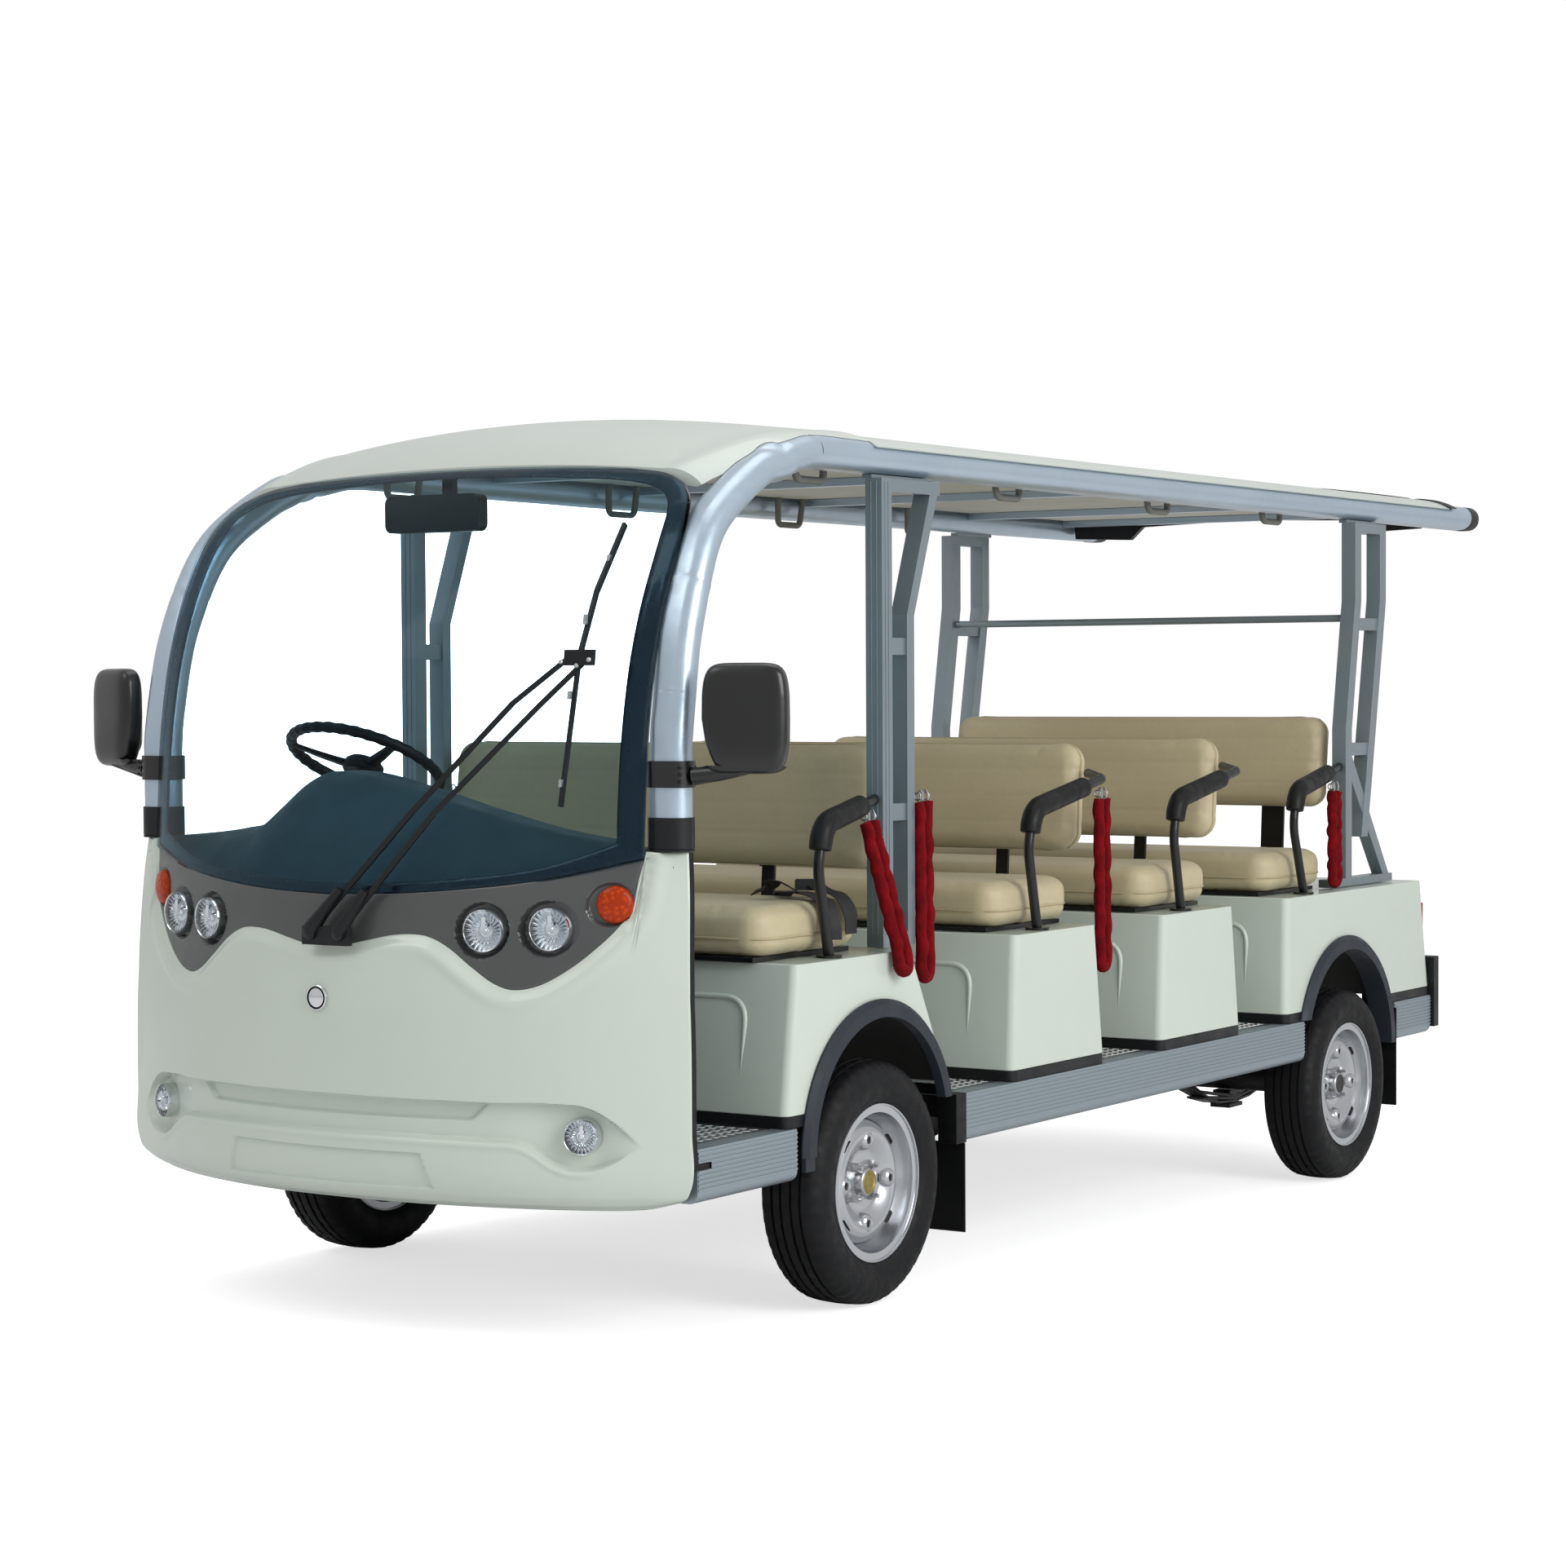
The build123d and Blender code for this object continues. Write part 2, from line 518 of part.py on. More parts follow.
def tub(y0, y1, ty0, ty1, z0, z1, half_low, half_top, corner):
    def ring(a, b, half, z):
        return Pos(0, (a + b) / 2, z) * RectangleRounded(2 * half, b - a, corner)
    return loft([ring(y0, y1, half_low, z0), ring(ty0, ty1, half_top, z1)], ruled=True)


FRONT_ARCH = (10.0, 374.0)
REAR_ARCH = (WHEELBASE, 325.0)
arch_front = cyl("X", (0, FRONT_ARCH[0], FRONT_ARCH[1]), 306, 2000) + box(-1000, 1000, FRONT_ARCH[0] - 306, FRONT_ARCH[0] + 306, 300, 376)
arch_rear = cyl("X", (0, REAR_ARCH[0], REAR_ARCH[1]), 326, 2000)
well_front = arch_front - box(-500, 500, -500, 500, 0, 900)
well_rear = arch_rear - box(-600, 600, WHEELBASE - 645, WHEELBASE + 555, 0, 900)
strips = []
pedestals = []
for name, y0, y1, ty0, ty1 in PEDESTALS:
    outer = tub(y0, y1, ty0, ty1, STRIP_TOP + 1, BOX_TOP, BODY_HALF, BODY_HALF - 5, 24)
    inner = tub(y0 + SHELL, y1 - SHELL, ty0 + SHELL, ty1 - SHELL, STRIP_TOP, BOX_TOP - SHELL, BODY_HALF - SHELL,
                BODY_HALF - 5 - SHELL, 18)
    shell = outer - inner
    band = tub(y0 + 1, y1 - 1, y0 + 1, y1 - 1, FLOOR_Z + 0.5, STRIP_TOP + 0.5, BODY_HALF + 0.5, BODY_HALF + 0.5, 24)
    band -= tub(y0 + 7, y1 - 7, y0 + 7, y1 - 7, FLOOR_Z, STRIP_TOP + 1, BODY_HALF - 6, BODY_HALF - 6, 18)
    for well in (well_front, well_rear):
        shell -= well
        band -= well
    strips.append(band)
    if name == "rear_body":
        save(name, shell)
    else:
        pedestals.append(shell)
save("base_strips", strips)
save("seat_boxes", pedestals)


def flare(centre, r_in, r_out, keep, lip_x):
    ring = cyl("X", (BODY_HALF + 9, *centre), r_out, 16.5) - cyl("X", (BODY_HALF + 9, *centre), r_in, 20)
    ring = chamfer(ring.edges().filter_by(GeomType.CIRCLE).group_by(Axis.X)[-1].sort_by(SortBy.RADIUS)[-1], 12)
    edge_x = BODY_HALF + 5
    lip = cyl("X", ((lip_x + edge_x) / 2, *centre), r_in + 6, edge_x - lip_x) - cyl("X", (edge_x - 28, *centre), r_in, 80)
    return (ring + lip) & keep


front_keep = box(BODY_HALF - 87, BODY_HALF + 113, -400, 0, 374, 800) + box(BODY_HALF - 87, BODY_HALF + 113, -1, 345, 447, 800)
front_flare = flare(FRONT_ARCH, 286, 327, front_keep, BODY_HALF - 7)
front_flare += box(BODY_HALF + 1, BODY_HALF + 13, FRONT_ARCH[0] - 325, FRONT_ARCH[0] - 287, 344, 375)
rear_keep = box(BODY_HALF - 87, BODY_HALF + 113, WHEELBASE - 445, WHEELBASE, 447, 800)
rear_keep += box(BODY_HALF - 87, BODY_HALF + 113, WHEELBASE - 1, WHEELBASE + 455, 326, 800)
rear_flare = flare(REAR_ARCH, 306, 347, rear_keep, BODY_HALF - 50)
save("wheel_flares", both(front_flare, rear_flare))

LINER_X = BODY_HALF - 7
front_liner = cyl("X", (LINER_X - 146, *FRONT_ARCH), 304, 292) - cyl("X", (LINER_X - 144, *FRONT_ARCH), 300, 288)
front_liner &= box(400, 1000, -400, 400, 484, 800)
rear_liner = cyl("X", (LINER_X - 88, *REAR_ARCH), 324, 176) - cyl("X", (LINER_X - 86, *REAR_ARCH), 320, 172)
rear_liner &= box(400, 1000, WHEELBASE - 445, WHEELBASE + 455, 472, 800)
save("wheel_liners", both(front_liner, rear_liner))

flap_front = box(690, BODY_HALF + 8, 389, 394, 112, 326)
flap_rear = box(690, BODY_HALF + 13, WHEELBASE + 349, WHEELBASE + 354, 131, 428)
rubber += [flap_front, flap_rear]

# Benches: row front station, back station, half widths, back lower and upper heights, back posts' place and half width
ROWS = [(-360, 90, 720, 240, 654, 970, 1290, 280, 18),
        (ROW_PITCH - 125, ROW_PITCH + 305, 720, ROW_PITCH + 420, 654, 968, 1273, 380, 18),
        (2 * ROW_PITCH - 125, 2 * ROW_PITCH + 305, 720, 2 * ROW_PITCH + 420, 654, 968, 1273, 380, 18),
        (WHEELBASE - 385, WHEELBASE + 40, 720, WHEELBASE + 155, 650, 1030, 1325, 440, 37)]
cushions = []
backs = []
posts = []
for front, end, half, back_y, back_half, low, high, post_x, post_half in ROWS:
    cushions.append(soft_box(-half, half, front, end, 816, 925, 70, 30))
    frame = box(-half + 45, half - 45, front + 25, end - 25, 804, 815)
    pad = soft_box(-back_half, back_half, -(high - low) / 2, (high - low) / 2, 0, 78, 60, 26)
    lean_back = Pos(0, back_y + 40, (low + high) / 2) * Rot(84, 0, 0) * Pos(0, 0, -39)
    backs.append(lean_back * pad)
    foot_y = back_y + 72
    for side in (-post_x, post_x):
        frame += box(side - post_half, side + post_half, end - 60, foot_y + 9, 804, 814)
        frame += prism_x([(foot_y, 804), (foot_y + 10, 804), (foot_y + 42, high - 60), (foot_y + 32, high - 60)],
                         side - post_half, side + post_half)
    posts.append(frame)
save("seat_cushions", cushions)
save("seat_backs", backs)
save("seat_frames", posts)

# Arm rails: row station shift, end style
arms = []
sleeves = []
ARM_R = 12.5
LOOP = [(738, 47, 808), (739, 1, 1005), (740, 23, 1105), (740, 393, 1172), (664, 459, 1184)]
END_FRONT = [(738, -120, 808), (739, -166, 1005), (740, -146, 1105), (700, 140.5, 1152)]
END_REAR = [(738, -190, 808), (739, -265, 1005), (740, -241, 1105), (700, 149.5, 1165)]


def between(a, b, t):
    return tuple(p + (q - p) * t for p, q in zip(a, b))


for line, start, radii in ((LOOP, ROW_PITCH, [120, 60, 26]), (LOOP, 2 * ROW_PITCH, [120, 60, 26]), (END_FRONT, 0, [120, 60]),
                           (END_REAR, WHEELBASE, [120, 60])):
    points = [(x, y + start, z) for x, y, z in line]
    arms.append(run_tube(points, radii, ARM_R))
    x, y, z = points[0]
    arms.append(cyl("Z", (x, y, z - 1.5), 30, 5))
    grip = [between(points[1], points[2], 0.45), points[2], between(points[2], points[3], 0.72)]
    sleeves.append(run_tube(grip, [60], 23, ARM_R + 0.4))
save("arm_rails", both(*arms))
save("arm_sleeves", both(*sleeves))

# Hanging chains in cloth: place, top and bottom heights, sideways drift of the lower end
CHAINS = [("first", 716, 92, 1100, 760, 94), ("second", 722, 324, 1140, 724, 6), ("third", 738, ROW_PITCH + 396, 1120, 684, 4),
          ("fourth", 744, WHEELBASE + 17, 1096, 824, 2)]
CHAIN_R = 15.0
CHAIN_GAP = 36.0


def chain_points(x, y, top, low, drift):
    down = []
    steps = 5
    for n in range(steps):
        t = n / steps
        wave = 4.5 if n % 2 else -4.5
        down.append((x + drift * t + wave * 0.6, y - CHAIN_GAP / 2 + wave * 0.6, top - (top - low - 20) * t))
    up = [(px - 1.5, 2 * y - py, pz) for px, py, pz in reversed(down)]
    fold = [(x + drift, y - CHAIN_GAP / 2, low), (x + drift, y + CHAIN_GAP / 2, low)]
    return down + fold + up


def cord_radii(points):
    radii = []
    for a, b, c in zip(points, points[1:], points[2:]):
        u = Vector(*b) - Vector(*a)
        v = Vector(*c) - Vector(*b)
        half = radians(u.get_angle(v)) / 2
        radii.append(0.45 * min(u.length, v.length) / tan(half))
    return radii


clips = []
for name, x, y, top, low, drift in CHAINS:
    points = chain_points(x, y, top, low, drift)
    radii = cord_radii(points)
    print(name, "radii", [round(r, 1) for r in radii])
    cord = run_tube(points, radii, CHAIN_R)
    save(f"seat_chain_{name}_left", cord)
    save(f"seat_chain_{name}_right", mirrored(cord))
    for px, py in ((points[0][0], points[0][1]), (points[-1][0], points[-1][1])):
        clips.append(Pos(px, py, top + 14) * Rot(90, 0, 90) * Torus(8.5, 2))
save("chain_clips", both(*clips))

# Mirrors
clamp = hoop_band(6, 1205, 1261) - hoop_band(0.6, 1203, 1263)
stay = bar((786, -712, 1227), (900, -694, 1252), 30, 34)
shell = box(-93, 93, -28, 28, 1234, 1466)
shell = fillet(shell.edges().filter_by(Axis.Y), 46)
shell = fillet(shell.faces().sort_by(Axis.Y)[0].edges(), 24)
shell = Pos(898, -689, 0) * Rot(0, 0, 20) * shell
side_mirrors = both(clamp + stay + shell)
cabin_mirror = box(-175, 95, -566, -530, 1768, 1852)
cabin_mirror = fillet(cabin_mirror.edges().filter_by(Axis.Y), 18)
cabin_mirror += box(-55, -25, -531, -488, 1836, 1848) + box(-55, -25, -506, -488, 1836, 1896)
save("mirrors", side_mirrors + [cabin_mirror])

# Dashboard and bulkhead
dash = front_block(22.0, -636) & box(-752, 752, -1100, -636, 1003, 1072)
dash += box(-752, 752, -660, -636, 885, 1004)
for side in (-752, 740):
    dash += box(side, side + 12, -744, -655, 885, 1004)
hump_line = [(-660, 1068), (-660, 1084), (-470, 1100), (-400, 1108), (-330, 1160), (-262, 1212), (-190, 1232), (-110, 1228),
             (40, 1196), (230, 1146), (420, 1104), (660, 1084), (660, 1068)]
hump = prism_y(hump_line, -900, -640) & extrude(plan_face(1060, -905, 676, back=-600), 300)
dash += hump
foot_room = hoop_band(9, 1060, 1300)
dash = dash - foot_room - mirrored(foot_room)
bulkhead = box(-774, 774, COWL_BACK_Y + 0.5, COWL_BACK_Y + 6, FLOOR_Z + 0.5, 884)
save("dashboard", [dash, bulkhead])
trim = box(BODY_HALF - 13, BODY_HALF + 7, COWL_BACK_Y + 0.5, COWL_BACK_Y + 9, 445, 1068)
trim += box(SILL_X[1] + 0.5, SILL_X[1] + 8, COWL_BACK_Y + 0.5, COWL_BACK_Y + 9, 400, 446)
trim += box(SILL_X[1] + 0.5, SILL_X[1] + 8, COWL_BACK_Y + 0.5, COWL_BACK_Y + 58, 400, 414)
save("rubber_trim", both(trim, *rubber))

# Steering
WHEEL_AT = Vector(-372, -410, 1243)
COLUMN_TILT = 27.5
steer_plane = Plane(origin=WHEEL_AT, x_dir=(1, 0, 0), z_dir=(0, sin(radians(COLUMN_TILT)), cos(radians(COLUMN_TILT))))


def steer_place(shape):
    return steer_plane.location * shape


ring = Torus(182, 13)
for k in range(3):
    ring += Rot(0, 0, 90 + 120 * k) * Pos(95, 0, -16) * Box(160, 30, 12)
ring += Pos(0, 0, -16) * (Cylinder(48, 34) - Pos(0, 0, -8) * Cylinder(12.05, 34))
save("steering_wheel", steer_place(ring))
column = Pos(0, 0, -330) * Cylinder(24, 560) + Pos(0, 0, -40) * Cylinder(12, 62)
stalk = Pos(-62, 0, -120) * Rot(0, 90, 0) * Cylinder(7, 110)
save("steering_column", steer_place(column + stalk))

# Wiper
pivot = box(-32, 95, -1026, -1009, 866, 906)
ARM_LINES = [[(-8, -1018, 898), (205, -972, 1150), (392, -884, 1384), (492, -826, 1482)],
             [(72, -1018, 898), (262, -966, 1150), (445, -862, 1378), (530, -814, 1478)]]
BLADE = [(524, -868, 1166), (509, -818, 1480), (500, -760, 1620), (492, -664, 1766)]
wiper = pivot + box(478, 548, -832, -813, 1462, 1496)
for line, wide, deep in ((ARM_LINES[0], 9, 12), (ARM_LINES[1], 9, 12), (BLADE, 8, 14)):
    for a, b in zip(line, line[1:]):
        wiper += bar(a, b, wide, deep)
save("wiper", wiper)

# Tail
lamps = both(box(640, 760, 3290.5, 3304, 610, 730))
save("tail_lamps", [Pos(0, AFT, 0) * lamp for lamp in lamps])
bumper = box(-801, 801, 3291, 3345, 345, 562) - box(-560, 560, 3280, 3360, 300, 450)
bumper = fillet(bumper.edges().filter_by(Axis.Z).group_by(Axis.Y)[-1], 20)
save("rear_bumper", Pos(0, AFT, 0) * bumper)
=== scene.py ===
from math import asin, atan2, cos, exp, hypot, pi, radians, sin, sqrt

import bmesh
import bpy
from mathutils import Matrix, Vector, bvhtree, kdtree


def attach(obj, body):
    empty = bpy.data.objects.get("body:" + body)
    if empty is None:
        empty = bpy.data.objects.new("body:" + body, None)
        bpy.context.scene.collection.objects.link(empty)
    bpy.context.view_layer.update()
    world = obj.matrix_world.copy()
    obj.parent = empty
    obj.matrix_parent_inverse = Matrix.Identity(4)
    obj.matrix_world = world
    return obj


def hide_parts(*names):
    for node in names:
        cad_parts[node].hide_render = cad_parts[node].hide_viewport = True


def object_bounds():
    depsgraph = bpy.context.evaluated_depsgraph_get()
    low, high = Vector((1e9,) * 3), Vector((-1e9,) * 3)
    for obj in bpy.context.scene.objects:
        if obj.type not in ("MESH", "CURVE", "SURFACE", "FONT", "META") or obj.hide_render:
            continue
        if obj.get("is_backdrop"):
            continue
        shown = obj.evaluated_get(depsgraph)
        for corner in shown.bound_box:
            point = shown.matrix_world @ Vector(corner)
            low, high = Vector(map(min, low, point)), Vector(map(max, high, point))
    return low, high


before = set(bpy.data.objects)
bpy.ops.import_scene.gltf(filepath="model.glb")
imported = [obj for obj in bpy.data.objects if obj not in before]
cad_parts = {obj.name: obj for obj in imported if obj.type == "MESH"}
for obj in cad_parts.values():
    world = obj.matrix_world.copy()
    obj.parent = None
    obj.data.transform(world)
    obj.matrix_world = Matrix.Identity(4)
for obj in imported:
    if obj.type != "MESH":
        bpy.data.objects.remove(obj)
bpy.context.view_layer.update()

# Lengths are drawn in millimetres in the level body, from the front axle and the ground.
# Each piece is then placed in metres.
WHEELBASE = 2645.0
HUB_HEIGHT = 281.0
Y_MIDDLE = 1408.4
RAKE = radians(1.07)
TRACK_HALF = 721.0
TO_METRES = Matrix.Scale(0.001, 4)
X_TO_Z = Matrix.Rotation(-pi / 2, 4, "Y")
AXLE_PLACE = Matrix.Translation((0, -Y_MIDDLE / 1000, 0)) @ TO_METRES
BODY_PLACE = (Matrix.Translation((0, -Y_MIDDLE / 1000, HUB_HEIGHT / 1000)) @ Matrix.Rotation(RAKE, 4, "X")
              @ Matrix.Translation((0, 0, -HUB_HEIGHT / 1000)) @ TO_METRES)

# Small helpers


def clamp(value, low=0.0, high=1.0):
    return max(low, min(high, value))


def smooth(start, end, value):
    t = clamp((value - start) / (end - start))
    return t * t * (3 - 2 * t)


def lerp(a, b, t):
    return a + (b - a) * t


def through(table, at):
    """Smooth value through pairs of (place, value)."""
    if at <= table[0][0]:
        return table[0][1]
    if at >= table[-1][0]:
        return table[-1][1]
    n = 0
    while table[n + 1][0] < at:
        n += 1
    (x0, y0), (x1, y1) = table[n], table[n + 1]
    step = x1 - x0

    def slope(k):
        if k <= 0 or k >= len(table) - 1:
            a, b = (0, 1) if k <= 0 else (-2, -1)
            return (table[b][1] - table[a][1]) / (table[b][0] - table[a][0])
        before = (table[k][1] - table[k - 1][1]) / (table[k][0] - table[k - 1][0])
        after = (table[k + 1][1] - table[k][1]) / (table[k + 1][0] - table[k][0])
        return (before + after) / 2 if before * after > 0 else 0.0

    t = (at - x0) / step
    m0, m1 = slope(n) * step, slope(n + 1) * step
    return ((2 * t**3 - 3 * t**2 + 1) * y0 + (t**3 - 2 * t**2 + t) * m0
            + (-2 * t**3 + 3 * t**2) * y1 + (t**3 - t**2) * m1)


def linear(red, green, blue):
    """Scene colour of a display colour given from 0 to 255."""
    out = []
    for part in (red, green, blue):
        c = part / 255
        out.append(c / 12.92 if c <= 0.04045 else ((c + 0.055) / 1.055) ** 2.4)
    return (*out, 1.0)


# Materials


class Finish:
    def __init__(self, name, colour, roughness=0.5, metallic=0.0, coat=0.0, coat_roughness=0.05):
        self.material = bpy.data.materials.new(name)
        self.material.use_nodes = True
        self.tree = self.material.node_tree
        self.shader = self.tree.nodes["Principled BSDF"]
        self.colour = linear(*colour)
        self.set("Base Color", self.colour)
        self.set("Roughness", roughness)
        self.set("Metallic", metallic)
        self.set("Coat Weight", coat)
        self.set("Coat Roughness", coat_roughness)
        self.coords = None

    def set(self, socket, value):
        self.shader.inputs[socket].default_value = value

    def node(self, kind, **values):
        made = self.tree.nodes.new(kind)
        for key, value in values.items():
            if key in made.inputs:
                made.inputs[key].default_value = value
            else:
                setattr(made, key, value)
        return made

    def link(self, out, into):
        self.tree.links.new(out, into)

    def place(self, scale=(1, 1, 1)):
        if self.coords is None:
            self.coords = self.node("ShaderNodeTexCoord")
        mapping = self.node("ShaderNodeMapping")
        mapping.inputs["Scale"].default_value = scale
        self.link(self.coords.outputs["Object"], mapping.inputs["Vector"])
        return mapping.outputs["Vector"]

    def noise(self, scale, detail=3.0, rough=0.55, stretch=(1, 1, 1)):
        made = self.node("ShaderNodeTexNoise", Scale=scale, Detail=detail, Roughness=rough)
        self.link(self.place(stretch), made.inputs["Vector"])
        return made.outputs["Fac"]

    def cells(self, scale):
        made = self.node("ShaderNodeTexVoronoi", Scale=scale)
        self.link(self.place(), made.inputs["Vector"])
        return made.outputs["Distance"]

    def ramp(self, value, low, high, low_at=0.0, high_at=1.0):
        made = self.node("ShaderNodeMapRange")
        made.inputs["From Min"].default_value = low_at
        made.inputs["From Max"].default_value = high_at
        made.inputs["To Min"].default_value = low
        made.inputs["To Max"].default_value = high
        self.link(value, made.inputs["Value"])
        return made.outputs["Result"]

    def vary(self, value, darker, amount=1.0, low_at=0.3, high_at=0.7):
        """Blends the base colour towards another one where value is high."""
        mix = self.node("ShaderNodeMix", data_type="RGBA")
        self.link(self.ramp(value, 0.0, amount, low_at, high_at), mix.inputs["Factor"])
        before = self.shader.inputs["Base Color"]
        if before.is_linked:
            self.link(before.links[0].from_socket, mix.inputs[6])
        else:
            mix.inputs[6].default_value = self.colour
        mix.inputs[7].default_value = linear(*darker)
        self.link(mix.outputs[2], before)
        return self

    def roughen(self, value, low, high):
        self.link(self.ramp(value, low, high, 0.3, 0.7), self.shader.inputs["Roughness"])
        return self

    def bump(self, value, strength, distance):
        made = self.node("ShaderNodeBump", Strength=strength, Distance=distance)
        self.link(value, made.inputs["Height"])
        before = self.shader.inputs["Normal"]
        if before.is_linked:
            self.link(before.links[0].from_socket, made.inputs["Normal"])
        self.link(made.outputs["Normal"], before)
        return self


def paint(name, colour, shade, coat=0.6, roughness=0.34):
    made = Finish(name, colour, roughness, 0.0, coat, 0.06)
    made.vary(made.noise(1.7, 4), shade, 0.55)
    made.roughen(made.noise(9, 4), roughness - 0.05, roughness + 0.1)
    made.bump(made.noise(160, 2), 0.25, 0.00012)
    return made.material


def metal_paint(name, colour, shade, metallic=0.7, roughness=0.36, flake=0.0001):
    made = Finish(name, colour, roughness, metallic, 0.3, 0.12)
    made.vary(made.noise(2.5, 4), shade, 0.6)
    made.roughen(made.noise(28, 3), roughness - 0.06, roughness + 0.1)
    made.bump(made.noise(900, 1), 0.2, flake)
    return made.material


def grained_plastic(name, colour, shade, roughness=0.55, grain=0.00035, cell=420):
    made = Finish(name, colour, roughness)
    made.set("Specular IOR Level", 0.3)
    made.vary(made.noise(6, 5), shade, 0.7)
    made.roughen(made.noise(14, 4), roughness - 0.1, roughness + 0.12)
    made.bump(made.cells(cell), 0.35, grain)
    return made.material


def rubber(name, colour, dust, roughness=0.72):
    made = Finish(name, colour, roughness)
    made.set("Specular IOR Level", 0.28)
    made.vary(made.noise(11, 6, 0.6), dust, 0.6, 0.45, 0.75)
    made.roughen(made.noise(35, 3), roughness - 0.12, roughness + 0.12)
    made.bump(made.noise(260, 3), 0.3, 0.0004)
    return made.material


def brushed(name, colour, shade, stretch, roughness=0.3, metallic=0.9):
    made = Finish(name, colour, roughness, metallic)
    lines = made.noise(60, 3, 0.6, stretch)
    made.vary(lines, shade, 0.5)
    made.roughen(lines, roughness - 0.05, roughness + 0.14)
    made.bump(lines, 0.3, 0.00008)
    return made.material


def coloured_lens(name, colour, shade):
    made = Finish(name, colour, 0.25)
    made.set("Specular IOR Level", 0.25)
    made.vary(made.cells(90), shade, 0.8, 0.1, 0.5)
    made.bump(made.cells(90), 0.6, 0.002)
    return made.material


def lens(name, colour, roughness=0.04, ior=1.49):
    made = Finish(name, colour, roughness)
    made.set("Transmission Weight", 1.0)
    made.set("IOR", ior)
    return made


CREAM = paint("cream body paint", (200, 210, 200), (190, 201, 190))
ROOF_CREAM = paint("cream roof gel coat", (198, 206, 199), (188, 197, 190), 0.35, 0.4)
MASK_GREY = metal_paint("dark metallic grey paint", (86, 88, 88), (74, 77, 78), 0.35, 0.34)
SATIN = metal_paint("satin silver hoop", (186, 202, 216), (174, 191, 207), 0.7, 0.34, 0.00003)
PILLAR = metal_paint("satin silver pillar", (140, 152, 158), (124, 138, 146), 0.6, 0.4, 0.00003)
BLACK_PAINT = metal_paint("black frame paint", (17, 18, 20), (12, 13, 14), 0.1, 0.36)
BLACK_PAINT.node_tree.nodes["Principled BSDF"].inputs["Specular IOR Level"].default_value = 0.35
CHASSIS = grained_plastic("black chassis coating", (28, 28, 29), (46, 44, 41), 0.62, 0.0006, 160)
silver = Finish("silver wheel paint", (196, 199, 203), 0.24, 0.92, 0.2, 0.1)
silver.vary(silver.noise(3, 2), (178, 182, 187), 0.5)
silver.roughen(silver.noise(5, 2), 0.2, 0.26)
WHEEL_SILVER = silver.material
AXLE_GREY = metal_paint("dark cast housing", (52, 52, 53), (38, 38, 38), 0.4, 0.55, 0.0004)
BLACK_PLASTIC = grained_plastic("black grained plastic", (19, 21, 23), (27, 29, 31), 0.42)
GLOSS_BLACK = paint("gloss black plastic", (10, 11, 13), (15, 16, 18), 0.3, 0.3)
BORDER = paint("dark screen border", (30, 38, 52), (22, 29, 42), 0.6, 0.25)
GREY_PLASTIC = grained_plastic("grey moulded plastic", (118, 118, 112), (104, 104, 99), 0.5)
FLARE = grained_plastic("charcoal arch rubber", (43, 49, 57), (36, 42, 49), 0.5, 0.0004, 300)
DASH = grained_plastic("dark dash plastic", (84, 100, 104), (70, 86, 91), 0.5, 0.0005, 260)
LINING = grained_plastic("pale lining board", (196, 196, 186), (186, 186, 176), 0.6, 0.0002, 200)
TYRE = rubber("tyre rubber", (12, 13, 16), (21, 21, 23), 0.6)
RUBBER = rubber("black rubber", (14, 15, 16), (22, 22, 23), 0.5)
SILL = brushed("ribbed sill alloy", (156, 168, 175), (142, 155, 163), (60, 1, 60), 0.36, 0.7)
CHEQUER = brushed("chequer plate alloy", (118, 121, 122), (96, 99, 100), (1, 14, 1), 0.34, 0.7)
# The raised tread is a much lighter copy of the deck alloy: painted highlight on the tread.
PAINTED_HIGHLIGHT_TREAD = brushed("tread alloy with painted highlight", (226, 228, 228), (204, 206, 206), (1, 6, 1), 0.26, 0.75)
STEEL = brushed("bright steel", (190, 190, 192), (170, 170, 172), (1, 1, 12), 0.25, 0.95)
CHROME = Finish("chrome", (225, 227, 230), 0.06, 1.0).material
BRASS = brushed("brass cap", (164, 146, 88), (132, 116, 66), (1, 1, 1), 0.4, 0.85)
reflector = Finish("lamp reflector", (236, 240, 244), 0.12, 1.0)
reflector.roughen(reflector.noise(30, 2), 0.08, 0.18)
REFLECTOR = reflector.material
MIRROR_GLASS = Finish("mirror glass", (215, 222, 226), 0.02, 1.0).material

glass = lens("teal tinted screen", (184, 211, 223), 0.0, 1.12)
glass.set("Specular IOR Level", 0.8)
SCREEN_GLASS = glass.material
CLEAR_LENS = lens("clear lens", (244, 248, 250), 0.03).material
ORANGE = coloured_lens("orange lens", (200, 66, 0), (150, 40, 0))
RED = coloured_lens("red lens", (160, 8, 8), (112, 3, 5))

leather = Finish("tan seat cover", (196, 184, 150), 0.46)
leather.vary(leather.noise(3.0, 5), (185, 172, 138), 0.8)
leather.vary(leather.noise(70, 4), (179, 167, 133), 0.35)
leather.roughen(leather.noise(40, 4), 0.38, 0.56)
leather.bump(leather.cells(420), 0.35, 0.0005)
leather.bump(leather.noise(900, 2), 0.15, 0.0002)
leather.set("Sheen Weight", 0.12)
LEATHER = leather.material
thread = Finish("tan seat piping", (183, 170, 135), 0.55)
thread.vary(thread.noise(40, 3), (169, 156, 122), 0.7)
thread.bump(thread.noise(500, 2), 0.3, 0.0004)
PIPING = thread.material

